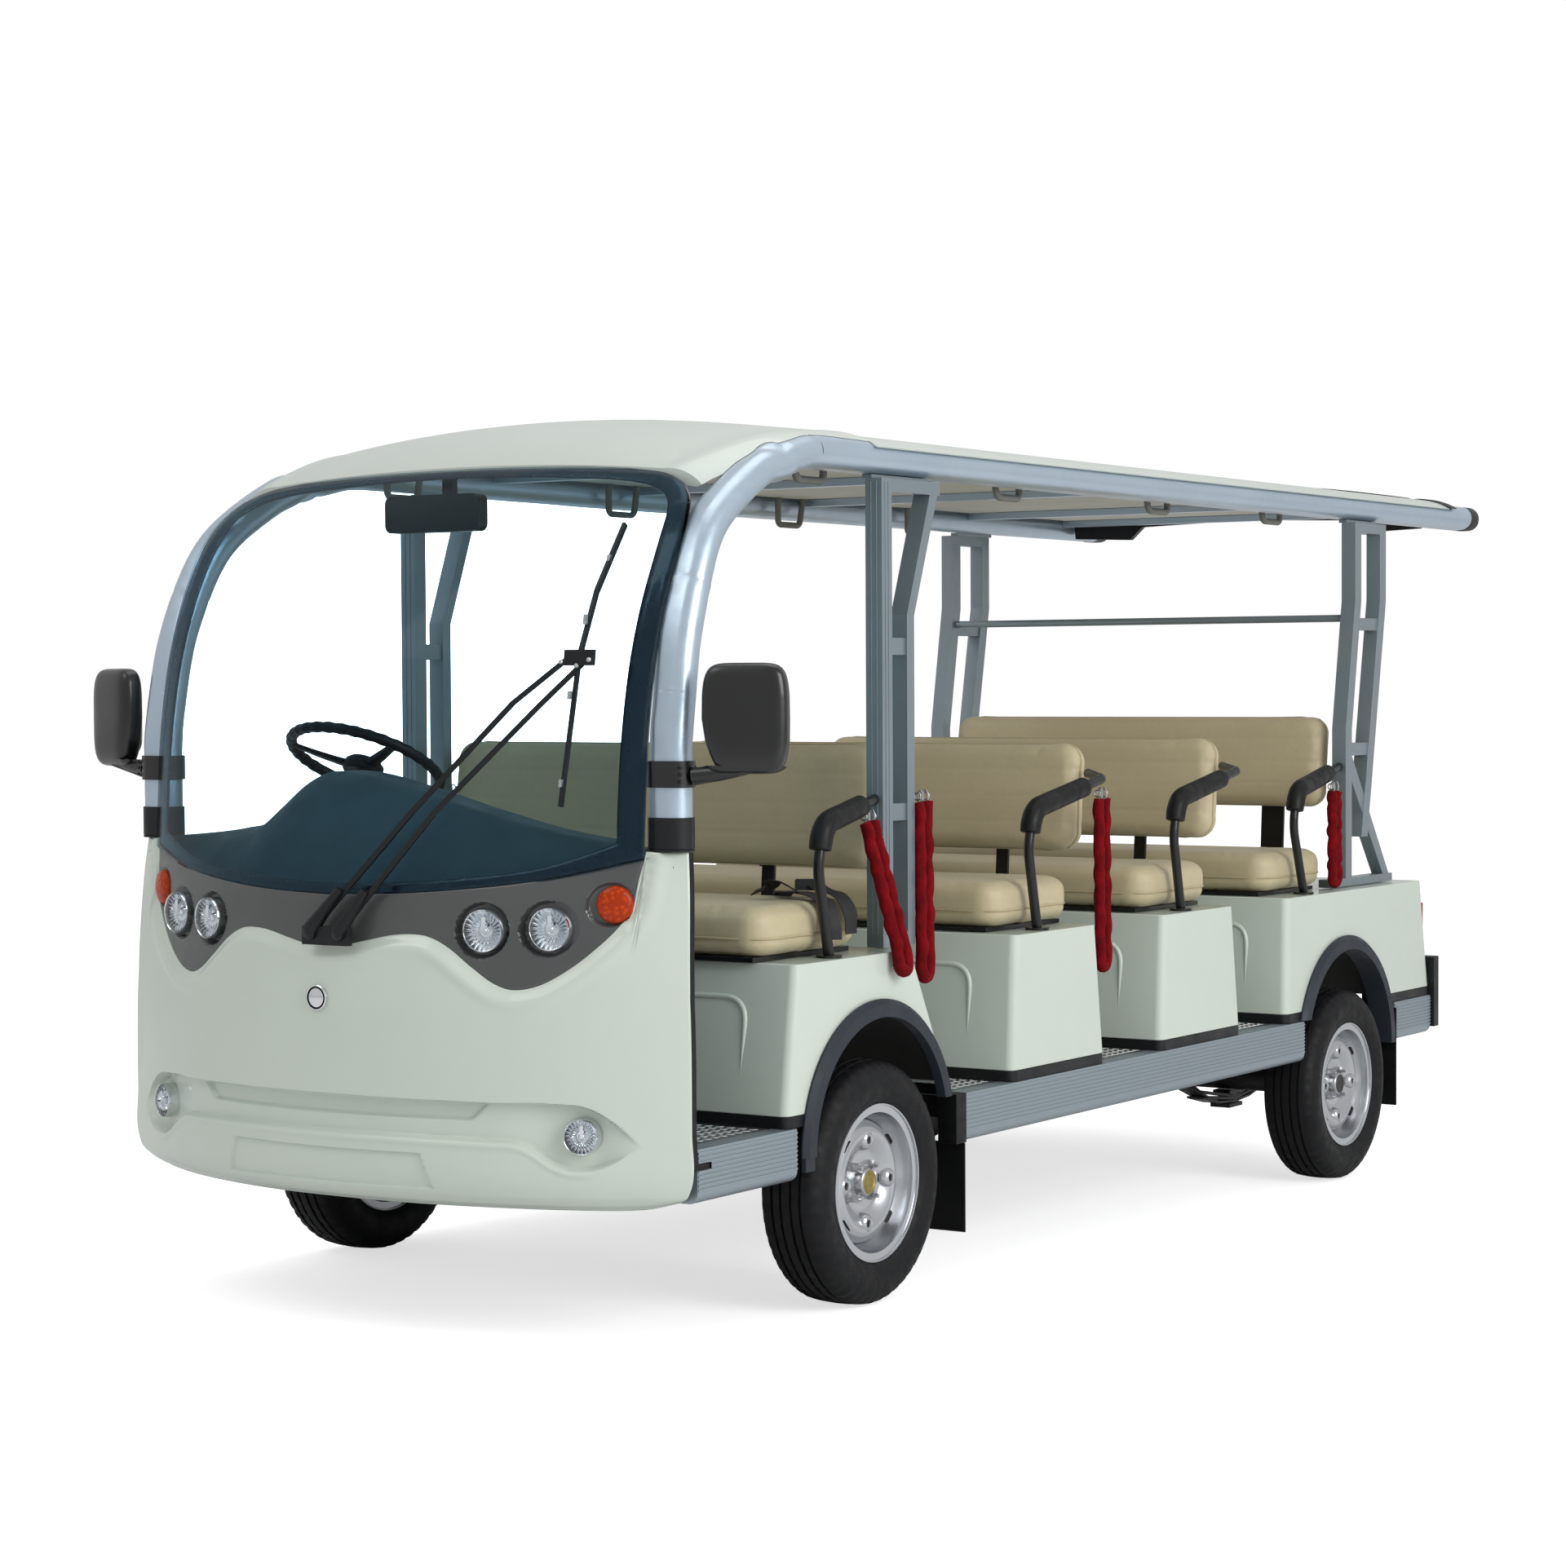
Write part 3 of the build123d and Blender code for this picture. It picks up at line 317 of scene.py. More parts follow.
velvet = Finish("red velvet", (122, 4, 14), 0.9)
velvet.vary(velvet.noise(30, 2), (80, 2, 8), 0.8)
velvet.bump(velvet.noise(42, 3), 0.8, 0.008)
velvet.set("Specular IOR Level", 0.15)
velvet.set("Sheen Weight", 0.05)
velvet.set("Sheen Roughness", 0.4)
velvet.set("Sheen Tint", linear(220, 20, 30))
VELVET = velvet.material
webbing = Finish("black webbing", (24, 24, 26), 0.7)
webbing.bump(webbing.noise(700, 2), 0.4, 0.0005)
webbing.vary(webbing.noise(90, 3), (38, 38, 40), 0.7)
WEBBING = webbing.material

# Pieces


def in_scene(name, data):
    """An object of that data, linked to the scene."""
    made = bpy.data.objects.new(name, data)
    bpy.context.collection.objects.link(made)
    return made


def mesh_of(name, bm):
    """Mesh data of a bmesh, which is freed."""
    mesh = bpy.data.meshes.new(name)
    bm.to_mesh(mesh)
    bm.free()
    return mesh


def move(bm, matrix):
    """Moves a whole bmesh and hands it back."""
    bmesh.ops.transform(bm, matrix=matrix, verts=bm.verts)
    return bm


def give_finish(bm, number):
    """Gives every face the material of that number and hands the bmesh back."""
    for face in bm.faces:
        face.material_index = number
    return bm


def skin(bm, rings):
    """Faces from each ring of vertices to the next."""
    for low, high in zip(rings, rings[1:]):
        count = len(low)
        for k in range(count):
            j = (k + 1) % count
            bm.faces.new((low[k], low[j], high[j], high[k]))


def add_piece(name, bm, material, body="body", nodes=(),
              place=BODY_PLACE, sharp=38, bevel=0.0, wall=0.0):
    """Makes the object of a mesh, in place, on its body."""
    if place is not None:
        move(bm, place)
    mesh = mesh_of(name, bm)
    for one in material if isinstance(material, (list, tuple)) else [material]:
        mesh.materials.append(one)
    mesh.shade_smooth()
    mesh.set_sharp_from_angle(angle=radians(sharp))
    piece = in_scene(name, mesh)
    if wall:
        shell = piece.modifiers.new("wall", "SOLIDIFY")
        shell.thickness = wall
        shell.offset = -1
    if bevel:
        edge = piece.modifiers.new("edges", "BEVEL")
        edge.width = bevel
        edge.segments = 2
        edge.limit_method = "ANGLE"
        edge.angle_limit = radians(32)
        edge.harden_normals = True
    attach(piece, body)
    if nodes:
        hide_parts(*nodes)
    return piece


# How near the points of a CAD node are welded, and below which angle its faces are joined
WELD = 0.00003
FLAT = radians(0.4)


def cad_mesh(node):
    """A merged copy of a CAD node's triangles, with its flat faces joined."""
    bm = bmesh.new()
    bm.from_mesh(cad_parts[node].data)
    bmesh.ops.remove_doubles(bm, verts=bm.verts, dist=WELD)
    bmesh.ops.dissolve_limit(bm, angle_limit=FLAT, verts=bm.verts, edges=bm.edges)
    return bm


def from_cad(node, name, material, body="body", bevel=0.0015, sharp=35):
    return add_piece(name, cad_mesh(node), material, body, (node,), None, sharp, bevel)


def new_box(bm, low, high):
    centre = [(a + b) / 2 for a, b in zip(low, high)]
    size = [b - a for a, b in zip(low, high)]
    matrix = Matrix.Translation(centre) @ Matrix.Diagonal((*size, 1))
    return bmesh.ops.create_cube(bm, size=1, matrix=matrix)["verts"]


def shaped_grid(columns, rows, place):
    bm = bmesh.new()
    bmesh.ops.create_grid(bm, x_segments=columns, y_segments=rows, size=0.5)
    for vert in bm.verts:
        vert.co = place(vert.co.x + 0.5, vert.co.y + 0.5)
    return bm


def spun(profile, steps, closed=False):
    """Turns a line of (along, radius) points about the X axis."""
    bm = bmesh.new()
    verts = [bm.verts.new((along, 0, radius)) for along, radius in profile]
    edges = [bm.edges.new(pair) for pair in zip(verts, verts[1:])]
    if closed:
        edges.append(bm.edges.new((verts[-1], verts[0])))
    bmesh.ops.spin(bm, geom=verts + edges, cent=(0, 0, 0), axis=(1, 0, 0),
                   angle=2 * pi, steps=steps, use_merge=True)
    bmesh.ops.remove_doubles(bm, verts=bm.verts, dist=0.01)
    bmesh.ops.recalc_face_normals(bm, faces=bm.faces)
    return bm


def merge_in(bm, other, matrix=None):
    """Moves another mesh into bm."""
    if matrix is not None:
        move(other, matrix)
        if matrix.determinant() < 0:
            bmesh.ops.reverse_faces(other, faces=other.faces)
    scratch = mesh_of("scratch", other)
    bm.from_mesh(scratch)
    bpy.data.meshes.remove(scratch)


def mirror_over(bm):
    """Adds the other side of the vehicle."""
    copy = bm.copy()
    merge_in(bm, copy, Matrix.Scale(-1, 4, (1, 0, 0)))
    return bm


def frame_at(centre, forward):
    """A matrix whose Z points forward, for pieces drawn along Z."""
    z = Vector(forward).normalized()
    x = Vector((0, 0, 1)).cross(z).normalized()
    y = z.cross(x)
    across, along, height = centre
    return Matrix(((x.x, y.x, z.x, across), (x.y, y.y, z.y, along), (x.z, y.z, z.z, height), (0, 0, 0, 1)))


def swept(points, radius, sides=12, loop=False):
    """A round bar along points, one ring at each, skinned from ring to ring."""
    bm = bmesh.new()
    rings = []
    points = [Vector(p) for p in points]
    up = Vector((0, 0, 1))
    for n, point in enumerate(points):
        before = points[n - 1] if n or loop else points[0]
        after = points[(n + 1) % len(points)] if loop else points[min(n + 1, len(points) - 1)]
        along = (after - before).normalized()
        if abs(along.dot(up)) > 0.95:
            up = Vector((0, 1, 0))
        side = up.cross(along).normalized()
        up = along.cross(side)
        matrix = Matrix(((side.x, up.x, along.x, point.x), (side.y, up.y, along.y, point.y),
                         (side.z, up.z, along.z, point.z), (0, 0, 0, 1)))
        r = radius(n / (len(points) - 1)) if callable(radius) else radius
        ring = bmesh.ops.create_circle(bm, segments=sides, radius=r, matrix=matrix)["verts"]
        rings.append(ring)
    skin(bm, rings + rings[:1] if loop else rings)
    if not loop:
        bm.faces.new(list(reversed(rings[0])))
        bm.faces.new(rings[-1])
    return bm


def rounded_route(points, radius, steps=6):
    """Points along a line with its corners rounded."""
    pts = [Vector(p) for p in points]
    out = [pts[0]]
    for a, b, c in zip(pts, pts[1:], pts[2:]):
        into, away = (a - b), (c - b)
        cut = min(radius, into.length * 0.48, away.length * 0.48)
        start, end = b + into.normalized() * cut, b + away.normalized() * cut
        for k in range(steps + 1):
            t = k / steps
            out.append(start.lerp(b, t).lerp(b.lerp(end, t), t))
    return out + [pts[-1]]


def pad_mesh(width, length, height, corner, roll):
    """A closed block with rounded plan corners, its top at +Z, ready to swell."""
    bm = bmesh.new()
    bmesh.ops.create_cube(bm, size=1, matrix=Matrix.Diagonal((width, length, height, 1)))
    upright = [e for e in bm.edges if abs(e.verts[0].co.z - e.verts[1].co.z) > height / 2]
    bmesh.ops.bevel(bm, geom=upright, offset=corner, segments=8, profile=0.5, affect="EDGES", material=-1)
    rims = [e for e in bm.edges if abs(e.verts[0].co.z - e.verts[1].co.z) < 1e-6
            and len({round(f.normal.z, 2) for f in e.link_faces}) > 1]
    bmesh.ops.bevel(bm, geom=rims, offset=roll, segments=5, profile=0.5, affect="EDGES", material=-1)
    return bm


# Front shell

SCREEN_EDGE_X = 697.0
KNEE = 0.89
KNEE_X = 700
CORNER_X = 786
SAG = [(760, 202.7), (955, 196), (1130, 181), (1320, 162), (1500, 134), (1660, 100), (1790, 68),
       (1880, 50), (1925, 40)]
COWL_BACK = [(300, -746), (805, -742), (960, -732), (1070, -722)]
NOSE = [(300, -978), (318, -985), (345, -1008), (480, -1017), (760, -1011), (960, -985), (1100, -948)]
MASK_LOW = [(0, 862), (60, 866), (110, 876), (180, 890), (228, 893), (268, 888), (312, 868), (372, 824),
            (420, 792), (462, 780), (510, 789), (560, 817), (620, 868), (664, 920), (688, 965),
            (697, 1052)]
GLASS_LOW = [(0, 968), (180, 974), (330, 985), (480, 1003), (600, 1027), (700, 1053), (830, 1084)]
GROOVE_TOP = [(0, 547), (230, 546), (414, 544), (560, 543), (608, 536), (654, 508), (690, 472), (710, 450)]
GROOVE_LOW = [(0, 461), (230, 460), (414, 457), (470, 454), (500, 442), (546, 412), (585, 400),
              (620, 401), (660, 416), (690, 437), (710, 450)]
COWL_BOTTOM = [(0, 316), (354, 314), (636, 312), (744, 320), (800, 334)]
MASK_DEPTH = 10.0
MASK_STEPS = 280
mask_line = kdtree.KDTree(MASK_STEPS + 1)
for step in range(MASK_STEPS + 1):
    spot = SCREEN_EDGE_X * step / MASK_STEPS
    mask_line.insert((spot, through(MASK_LOW, spot), 0), step)
mask_line.balance()


def bow_radius(z):
    """Radius of the bowed front seen from above, at one height."""
    sag = through(SAG, z)
    return (SCREEN_EDGE_X**2 + sag * sag) / (2 * sag)


def bowed(x, nose, z):
    radius = bow_radius(z)
    return nose + radius - sqrt(radius**2 - x * x)


def sink(x, y, depth, z):
    """The point moved inwards, square to the bowed front."""
    turn = asin(clamp(x / bow_radius(z), -1, 1))
    return x - depth * sin(turn), y + depth * cos(turn)


def cowl_depth(x, z):
    """How deep the shell lies here: mask edge and its lip, groove, shelf, ledge and plate recess."""
    across = abs(x)
    gap = mask_line.find((across, z, 0))[2]
    depth = MASK_DEPTH * (1 - smooth(0, 25, gap)) - 3.5 * exp(-((gap - 31) / 13) ** 2)
    if across < 712:
        top, low = through(GROOVE_TOP, across), through(GROOVE_LOW, across)
        if low < z < top:
            floor = lerp(20, 30, smooth(430, 560, across)) * smooth(716, 618, across)
            depth += floor * smooth(0, 5, top - z) * smooth(0, 9, z - low)
        reach = 372 + (z - 500) * 1.02
        depth += 10 * smooth(0, 6, 541 - z) * smooth(0, 9, z - 499) * smooth(0, 12, reach - across)
        ledge = exp(-((z - low + 6) / 7) ** 2) * smooth(700, 560, across)
        depth -= 3.0 * ledge
    plate_half = 262 + (432 - z) * 0.35
    depth += 7 * smooth(0, 3.5, 432 - z) * smooth(0, 4, z - 353) * smooth(0, 5, plate_half - across)
    return depth


def cowl_point(u, v):
    a = 2 * u - 1
    across = abs(a)
    past_knee = (across - KNEE) / (1 - KNEE)
    x_guess = across / KNEE * KNEE_X if across < KNEE else lerp(KNEE_X, CORNER_X, past_knee)
    low = through(COWL_BOTTOM, x_guess)
    top = through(MASK_LOW, x_guess) if x_guess < SCREEN_EDGE_X else 1069.0
    if v < 0.15:
        z = lerp(low, 392, v / 0.15)
    elif v < 0.62:
        z = lerp(392, 562, (v - 0.15) / 0.47)
    else:
        z = lerp(562, top, (v - 0.62) / 0.38)
    nose = through(NOSE, z)
    if across < KNEE:
        x = x_guess
    else:
        radius = bow_radius(z)
        edge = sqrt(radius**2 - (nose + radius - through(COWL_BACK, z)) ** 2)
        x = lerp(KNEE_X, edge, past_knee)
    y = bowed(x, nose, z)
    depth = cowl_depth(x, z) + 16 * (1 - smooth(0, 0.035, v)) ** 2
    x, y = sink(x, y, depth, z)
    return (x if a > 0 else -x, y, z)


add_piece("cowl_shell", shaped_grid(320, 200, cowl_point), CREAM,
          nodes=("front_cowl",), sharp=50, wall=0.005)

# Mask with round lamp dishes: across, height, dish radius, depth, sideways aim
DISHES = [(386.0, 904.0, 57.0, 21.0, 0.22), (525.0, 909.0, 57.0, 17.0, 0.22), (642.0, 960.0, 45.0, 9.0, 0.5)]


def mask_point(u, v):
    a = 2 * u - 1
    across = abs(SCREEN_EDGE_X * a)
    low, top = through(MASK_LOW, across) - 5, through(GLASS_LOW, across) + 4
    z = lerp(low, max(top, low + 2), v)
    y = bowed(across, through(NOSE, z), z)
    depth = lerp(MASK_DEPTH + 1.0, 3.0, smooth(0.25, 1.0, v)) + 2.5 * (1 - smooth(0, 0.05, v))
    for at, height, radius, deep, aim in DISHES:
        away = hypot(across - at, z - height)
        if away < radius + 8:
            floor = bowed(at, through(NOSE, height), height) + MASK_DEPTH + deep + aim * (across - at)
            inside = 1 - smooth(radius - 3, radius + 3, away)
            rim = exp(-((away - radius - 4) / 2.5) ** 2)
            flat_y = (floor - y) * cos(asin(across / bow_radius(z)))
            depth = lerp(depth, flat_y, inside) - 1.2 * rim
    x_new, y = sink(across, y, depth, z)
    return (x_new if a > 0 else -x_new, y, z)


add_piece("mask_panel", shaped_grid(340, 56, mask_point), MASK_GREY,
          nodes=("front_mask",), sharp=55, wall=0.003)

# Round lamps, turn lenses and the plain boss


def lamp(radius, ring, depth):
    """A round lamp facing -Z: ribbed bowl and shelf, bezel and bulb, clear dome as materials 0 to 2."""
    bm = bmesh.new()
    bowl = spun([(-0.001, 0.01), (-1, radius * 0.3), (-4, radius * 0.34),
                 (-depth * 0.4, radius * 0.6), (-depth * 0.5, radius * 0.64),
                 (-depth, radius * 0.96)], 96)
    for vert in bowl.verts:
        out = hypot(vert.co.y, vert.co.z)
        if radius * 0.5 < out < radius * 0.9:
            vert.co.x += 1.6 * cos(atan2(vert.co.z, vert.co.y) * 24)
    bulb = spun([(0, radius * 0.2), (-depth * 0.5, radius * 0.19),
                 (-depth * 0.66, radius * 0.12), (-depth * 0.7, 0.01)], 24)
    shelf = bmesh.new()
    new_box(shelf, (-depth * 0.8, -radius * 0.1, -radius * 0.1), (-depth * 0.3, radius * 0.62, radius * 0.1))
    bezel = spun([(-depth + 4, radius * 0.95), (-depth - 4, radius * 0.98),
                  (-depth - 6, ring * 0.96), (-depth - 1, ring),
                  (6, ring), (6, ring * 0.9)], 48)
    dome = spun([(-depth - 5, radius * 0.985), (-depth - 8, radius * 0.9), (-depth - 12, radius * 0.6),
                 (-depth - 14, radius * 0.3), (-depth - 14.5, 0.01)], 48)
    for number, part in ((0, bowl), (1, bezel), (2, dome), (1, bulb), (0, shelf)):
        merge_in(bm, give_finish(part, number), X_TO_Z)
    return bm


def both_lamps(at, height, aim, radius, ring, depth, back):
    y = bowed(at, through(NOSE, height), height) + back
    pair = bmesh.new()
    for side in (1, -1):
        merge_in(pair, lamp(radius, ring, depth), frame_at((side * at, y, height), (-side * aim, 1, 0)))
    return pair


lights = bmesh.new()
for at, height, _, deep, aim in DISHES[:2]:
    merge_in(lights, both_lamps(at, height, aim, 43.5, 47, 24, MASK_DEPTH + deep - 2))
merge_in(lights, both_lamps(590, 474, 0.4, 35.5, 39, 16, 24))
add_piece("front_lights", lights, [REFLECTOR, CHROME, CLEAR_LENS], nodes=("front_lamps",), sharp=50)

turn_lights = bmesh.new()
at, height, _, _, aim = DISHES[2]
y_turn = bowed(at, through(NOSE, height), height) + MASK_DEPTH + 8
for side in (1, -1):
    dome = spun([(8, 39.5), (-8, 39.5), (-13, 36), (-17, 26), (-19, 13), (-19.5, 0.01)], 40)
    lens_place = frame_at((side * at, y_turn, height), (-side * aim, 1, 0))
    merge_in(turn_lights, move(dome, X_TO_Z), lens_place)
add_piece("turn_lenses", turn_lights, ORANGE, nodes=("indicator_lamps",), sharp=60)

badge = spun([(6, 28.5), (-3, 29), (-7, 28), (-8, 26.5), (-7.5, 25),
              (-2, 24), (-2, 21.5), (-7, 20.5), (-9, 12), (-9.5, 0.01)], 48)
# The faces in the groove between the rim and the disc take gloss black: painted shadow in the groove.
for face in badge.faces:
    out = face.calc_center_median()
    face.material_index = 1 if 21 < hypot(out.y, out.z) < 24.6 else 0
move(badge, X_TO_Z)
move(badge, frame_at((0, -1011.5, 751), (0, 1, 0)))
add_piece("front_boss", badge, [CHROME, GLOSS_BLACK], sharp=40)

# Windscreen

SCREEN_NOSE = [(955, -978), (1130, -953), (1320, -920), (1500, -858), (1660, -765), (1790, -655),
               (1880, -552), (1925, -495)]
SCREEN_HALF = [(1050, 697), (1400, 698), (1640, 698), (1720, 696), (1780, 688), (1825, 668), (1857, 635)]
SCREEN_TOP = [(0, 1916), (200, 1912), (380, 1903), (500, 1893), (580, 1880), (635, 1857)]


def screen_xz(a, v):
    half = through(SCREEN_HALF, lerp(1053, 1857, v))
    return a * half, lerp(through(GLASS_LOW, abs(a) * SCREEN_EDGE_X), through(SCREEN_TOP, abs(a) * 635), v)


def screen_spot(x, z, depth=0.0):
    y = bowed(abs(x), through(SCREEN_NOSE, z), z)
    nearer, y = sink(abs(x), y, depth, z)
    return (nearer if x > 0 else -nearer, y, z)


def pane_point(u, v):
    return screen_spot(*screen_xz(2 * u - 1, v))


add_piece("screen_pane", shaped_grid(60, 60, pane_point), SCREEN_GLASS,
          nodes=("windscreen",), sharp=60, wall=0.005)


def outline():
    count = 60
    loop = [screen_xz(lerp(-1, 1, k / count), 0) for k in range(count)]
    loop += [screen_xz(1, k / count) for k in range(count)]
    loop += [screen_xz(lerp(1, -1, k / count), 1) for k in range(count)]
    loop += [screen_xz(-1, 1 - k / count) for k in range(count)]
    return loop


def inset_loop(loop, width):
    """The outline moved inwards by width(x, z) and eased round its corners."""
    moved = []
    for n, (x, z) in enumerate(loop):
        (ax, az), (bx, bz) = loop[n - 1], loop[(n + 1) % len(loop)]
        tx, tz = bx - ax, bz - az
        size = hypot(tx, tz)
        w = width(x, z)
        moved.append((x - tz / size * w, z + tx / size * w))
    for _ in range(14):
        ahead = moved[1:] + moved[:1]
        behind = moved[-1:] + moved[:-1]
        moved = [((before[0] + 2 * x + after[0]) / 4, (before[1] + 2 * z + after[1]) / 4)
                 for before, (x, z), after in zip(behind, moved, ahead)]
    return moved


def screen_band(name, outer, inner, depth, material):
    strip = bmesh.new()
    rows = []
    for t in (0.0, 0.35, 0.7, 1.0):
        spots = [(lerp(a[0], b[0], t), lerp(a[1], b[1], t)) for a, b in zip(outer, inner)]
        rows.append([strip.verts.new(screen_spot(x, z, depth)) for x, z in spots])
    skin(strip, rows)
    return add_piece(name, strip, material, sharp=60, wall=0.0012)


def border_width(x, z):
    """Wide at the sides, narrow along the bottom and round the top corners."""
    return lerp(27, 54, smooth(560, 640, abs(x)) * (1 - smooth(1790, 1850, z)))


edge_loop = outline()
inner_loop = inset_loop(edge_loop, border_width)
screen_band("screen_border", edge_loop, inner_loop, 8.0, BORDER)

# Dashboard behind the glass

HUMP = [(-740, 1072), (-600, 1082), (-470, 1098), (-400, 1112), (-330, 1160), (-262, 1208), (-190, 1230),
        (-110, 1224), (40, 1192), (230, 1144), (420, 1104), (600, 1082), (740, 1072)]
DASH_HALF = 742
TOP_SHARE = 0.82


def dash_point(u, v):
    x = (2 * u - 1) * DASH_HALF
    low = through(GLASS_LOW, abs(x)) + 4
    front = bowed(abs(x), through(SCREEN_NOSE, low), low) + 11
    back = lerp(-640.0, -736.0, smooth(520, 730, abs(x)))
    top = through(HUMP, x)
    if v < TOP_SHARE:
        t = v / TOP_SHARE
        rise = smooth(0.0, 0.75, t) ** 0.8
        return (x, lerp(front, back, t), lerp(low, top, rise))
    t = (v - TOP_SHARE) / (1 - TOP_SHARE)
    return (x, lerp(back, back + 6, smooth(0, 0.4, t)), lerp(top, 890, t ** 1.2))


dash = shaped_grid(120, 60, dash_point)
new_box(dash, (-762, -748, 444.5), (762, -742, 884))
for inner_x, outer_x in ((740, 750), (-750, -740)):
    new_box(dash, (inner_x, -744, 885), (outer_x, -724, 1040))
add_piece("dash_top", dash, DASH, nodes=("dashboard",), sharp=40)

# Steering wheel: rim with finger bumps, spokes and hub

WHEEL_AT = (-372, -410, 1243)
GRIP_RADIUS = 182
COLUMN_TILT = radians(27.5)


def grip_rim():
    bm = bmesh.new()
    rings = []
    count = 120
    for k in range(count):
        angle = 2 * pi * k / count
        swell = 13 + 1.1 * sin(angle * 34) * (1 if sin(angle) < 0.2 else 0.25)
        matrix = (Matrix.Rotation(angle, 4, "Z") @ Matrix.Translation((GRIP_RADIUS, 0, 0))
                  @ Matrix.Rotation(pi / 2, 4, "X"))
        rings.append(bmesh.ops.create_circle(bm, segments=14, radius=swell, matrix=matrix)["verts"])
    skin(bm, rings + rings[:1])
    bmesh.ops.recalc_face_normals(bm, faces=bm.faces)
    return bm


helm = grip_rim()
for k in range(3):
    turn = Matrix.Rotation(radians(90 + 120 * k), 4, "Z")
    spoke = swept(rounded_route([(172, 0, -2), (120, 0, -12), (60, 0, -20), (20, 0, -22)], 30),
                  lambda t: lerp(8, 13, t), 12)
    bmesh.ops.scale(spoke, vec=(1, 1.5, 0.7), verts=spoke.verts)
    merge_in(helm, spoke, turn)
cap = spun([(-34, 0.01), (-34, 44), (-28, 49), (-6, 47), (2, 38), (6, 22), (7, 0.01)], 40)
merge_in(helm, cap, X_TO_Z)
helm_place = Matrix.Translation(WHEEL_AT) @ Matrix.Rotation(-COLUMN_TILT, 4, "X")
add_piece("steering_rim", move(helm, helm_place), BLACK_PLASTIC,
          "steering_wheel_body", ("steering_wheel",), sharp=45)

# Tyres

HALF_TYRE = [(0, 281), (7, 280.9), (9.5, 280.8), (10.5, 274), (16, 274), (17, 280.6), (33, 279.8),
             (34, 273), (40, 272.6), (41, 279), (55, 277.2), (62, 274), (67, 270), (72, 265), (77, 257),
             (80.5, 248), (82.6, 238), (83, 228), (81.5, 216), (78.5, 205), (76, 198), (76.4, 196.5),
             (73, 190), (69, 184), (66, 180), (64.5, 174), (62.5, 168), (50, 166.5)]
STEPS = 160


def tyre_mesh():
    """Spun tyre with its ribs cut across at the shoulder and in the middle."""
    line = [(-x, r) for x, r in reversed(HALF_TYRE[1:])] + HALF_TYRE
    bm = spun(line, STEPS)
    for vert in bm.verts:
        across = abs(vert.co.x)
        radius = hypot(vert.co.y, vert.co.z)
        turn = atan2(vert.co.z, vert.co.y) / (2 * pi) * STEPS
        step = round(turn)
        shrink = 0.0
        if 50 < across < 73 and radius > 262 and step % 3 == 0:
            shrink = 4.0
        elif 16.5 < across < 33.5 and radius > 275 and step % 4 == (0 if vert.co.x > 0 else 2):
            shrink = 2.5
        if shrink:
            scale = (radius - shrink) / radius
            vert.co.y *= scale
            vert.co.z *= scale
    return bm


RIM = [(-70, 182), (-63.5, 182), (-62.3, 165.6), (-38, 165), (-22, 148), (22, 148), (38, 165),
       (62.3, 165.6), (63.5, 182), (70, 182), (71.5, 181), (71, 178), (67, 177), (66, 161), (54, 159),
       (37, 157), (24, 146), (21, 144), (-21, 144), (-37, 161), (-66, 161), (-67, 178), (-70, 178)]
DISC = [(6, 146), (14, 144.5), (24, 142), (33, 137), (40, 131), (44, 124), (46, 116), (46, 108),
        (43, 100), (38, 91), (34, 84), (29, 77), (26, 72), (26, 60), (27, 34), (22, 32), (21, 60),
        (21, 76), (29, 87), (41, 109), (39, 122), (27, 135), (2, 142)]


def wheel_disc():
    """Rim, dished disc, bosses, slots, nuts and cap: silver, dark, steel and cap finishes. The slots and the
    holes of the bosses are dark plates: painted shade where the openings would be.
    """
    bm = spun(RIM, 128, closed=True)
    merge_in(bm, spun(DISC, 128, closed=True))
    merge_in(bm, spun([(-44, 0.01), (-44, 70), (18, 70), (20, 66), (20, 30), (20, 0.01)], 64))

    def add(part, number, matrix=None):
        merge_in(bm, give_finish(part, number), matrix)

    for k in range(4):
        quarter = Matrix.Rotation(pi / 2 * k, 4, "X")
        half = Matrix.Rotation(pi / 2 * k + pi / 4, 4, "X")
        boss_place = quarter @ Matrix.Translation((0, 96, 0))
        add(spun([(28, 25), (42, 22), (47, 17), (48.5, 14), (47, 9), (44, 8)], 32), 0, boss_place)
        # The dark disc in each boss closes its hole: painted shade.
        add(spun([(44.6, 8.4), (44.6, 0.01)], 24), 1, boss_place)
        # Each slot is a dark plate laid on the disc: painted shade in place of an opening.
        slot = move(pad_mesh(34, 14, 3, 6.9, 0.6), Matrix.Rotation(pi / 2, 4, "Y"))
        add(slot, 1, half @ Matrix.Translation((43.0, 126, 0)) @ Matrix.Rotation(-0.62, 4, "Z"))
        nut = bmesh.new()
        bmesh.ops.create_cone(nut, cap_ends=True, segments=6, radius1=11, radius2=10, depth=15)
        stud_place = Matrix.Translation((0, 0, 5))
        bmesh.ops.create_cone(nut, cap_ends=True, segments=16,
                              radius1=6, radius2=5.4, depth=24, matrix=stud_place)
        add(nut, 2, half @ Matrix.Translation((34, 50, 0)) @ Matrix.Rotation(pi / 2, 4, "Y"))
    add(spun([(24, 33), (44, 32.5), (47, 30), (48, 27)], 48), 2)
    add(spun([(48, 27.2), (49.5, 26), (50, 22), (47.5, 19), (47.5, 9), (49, 6), (49, 0.01)], 48), 3)
    return bm


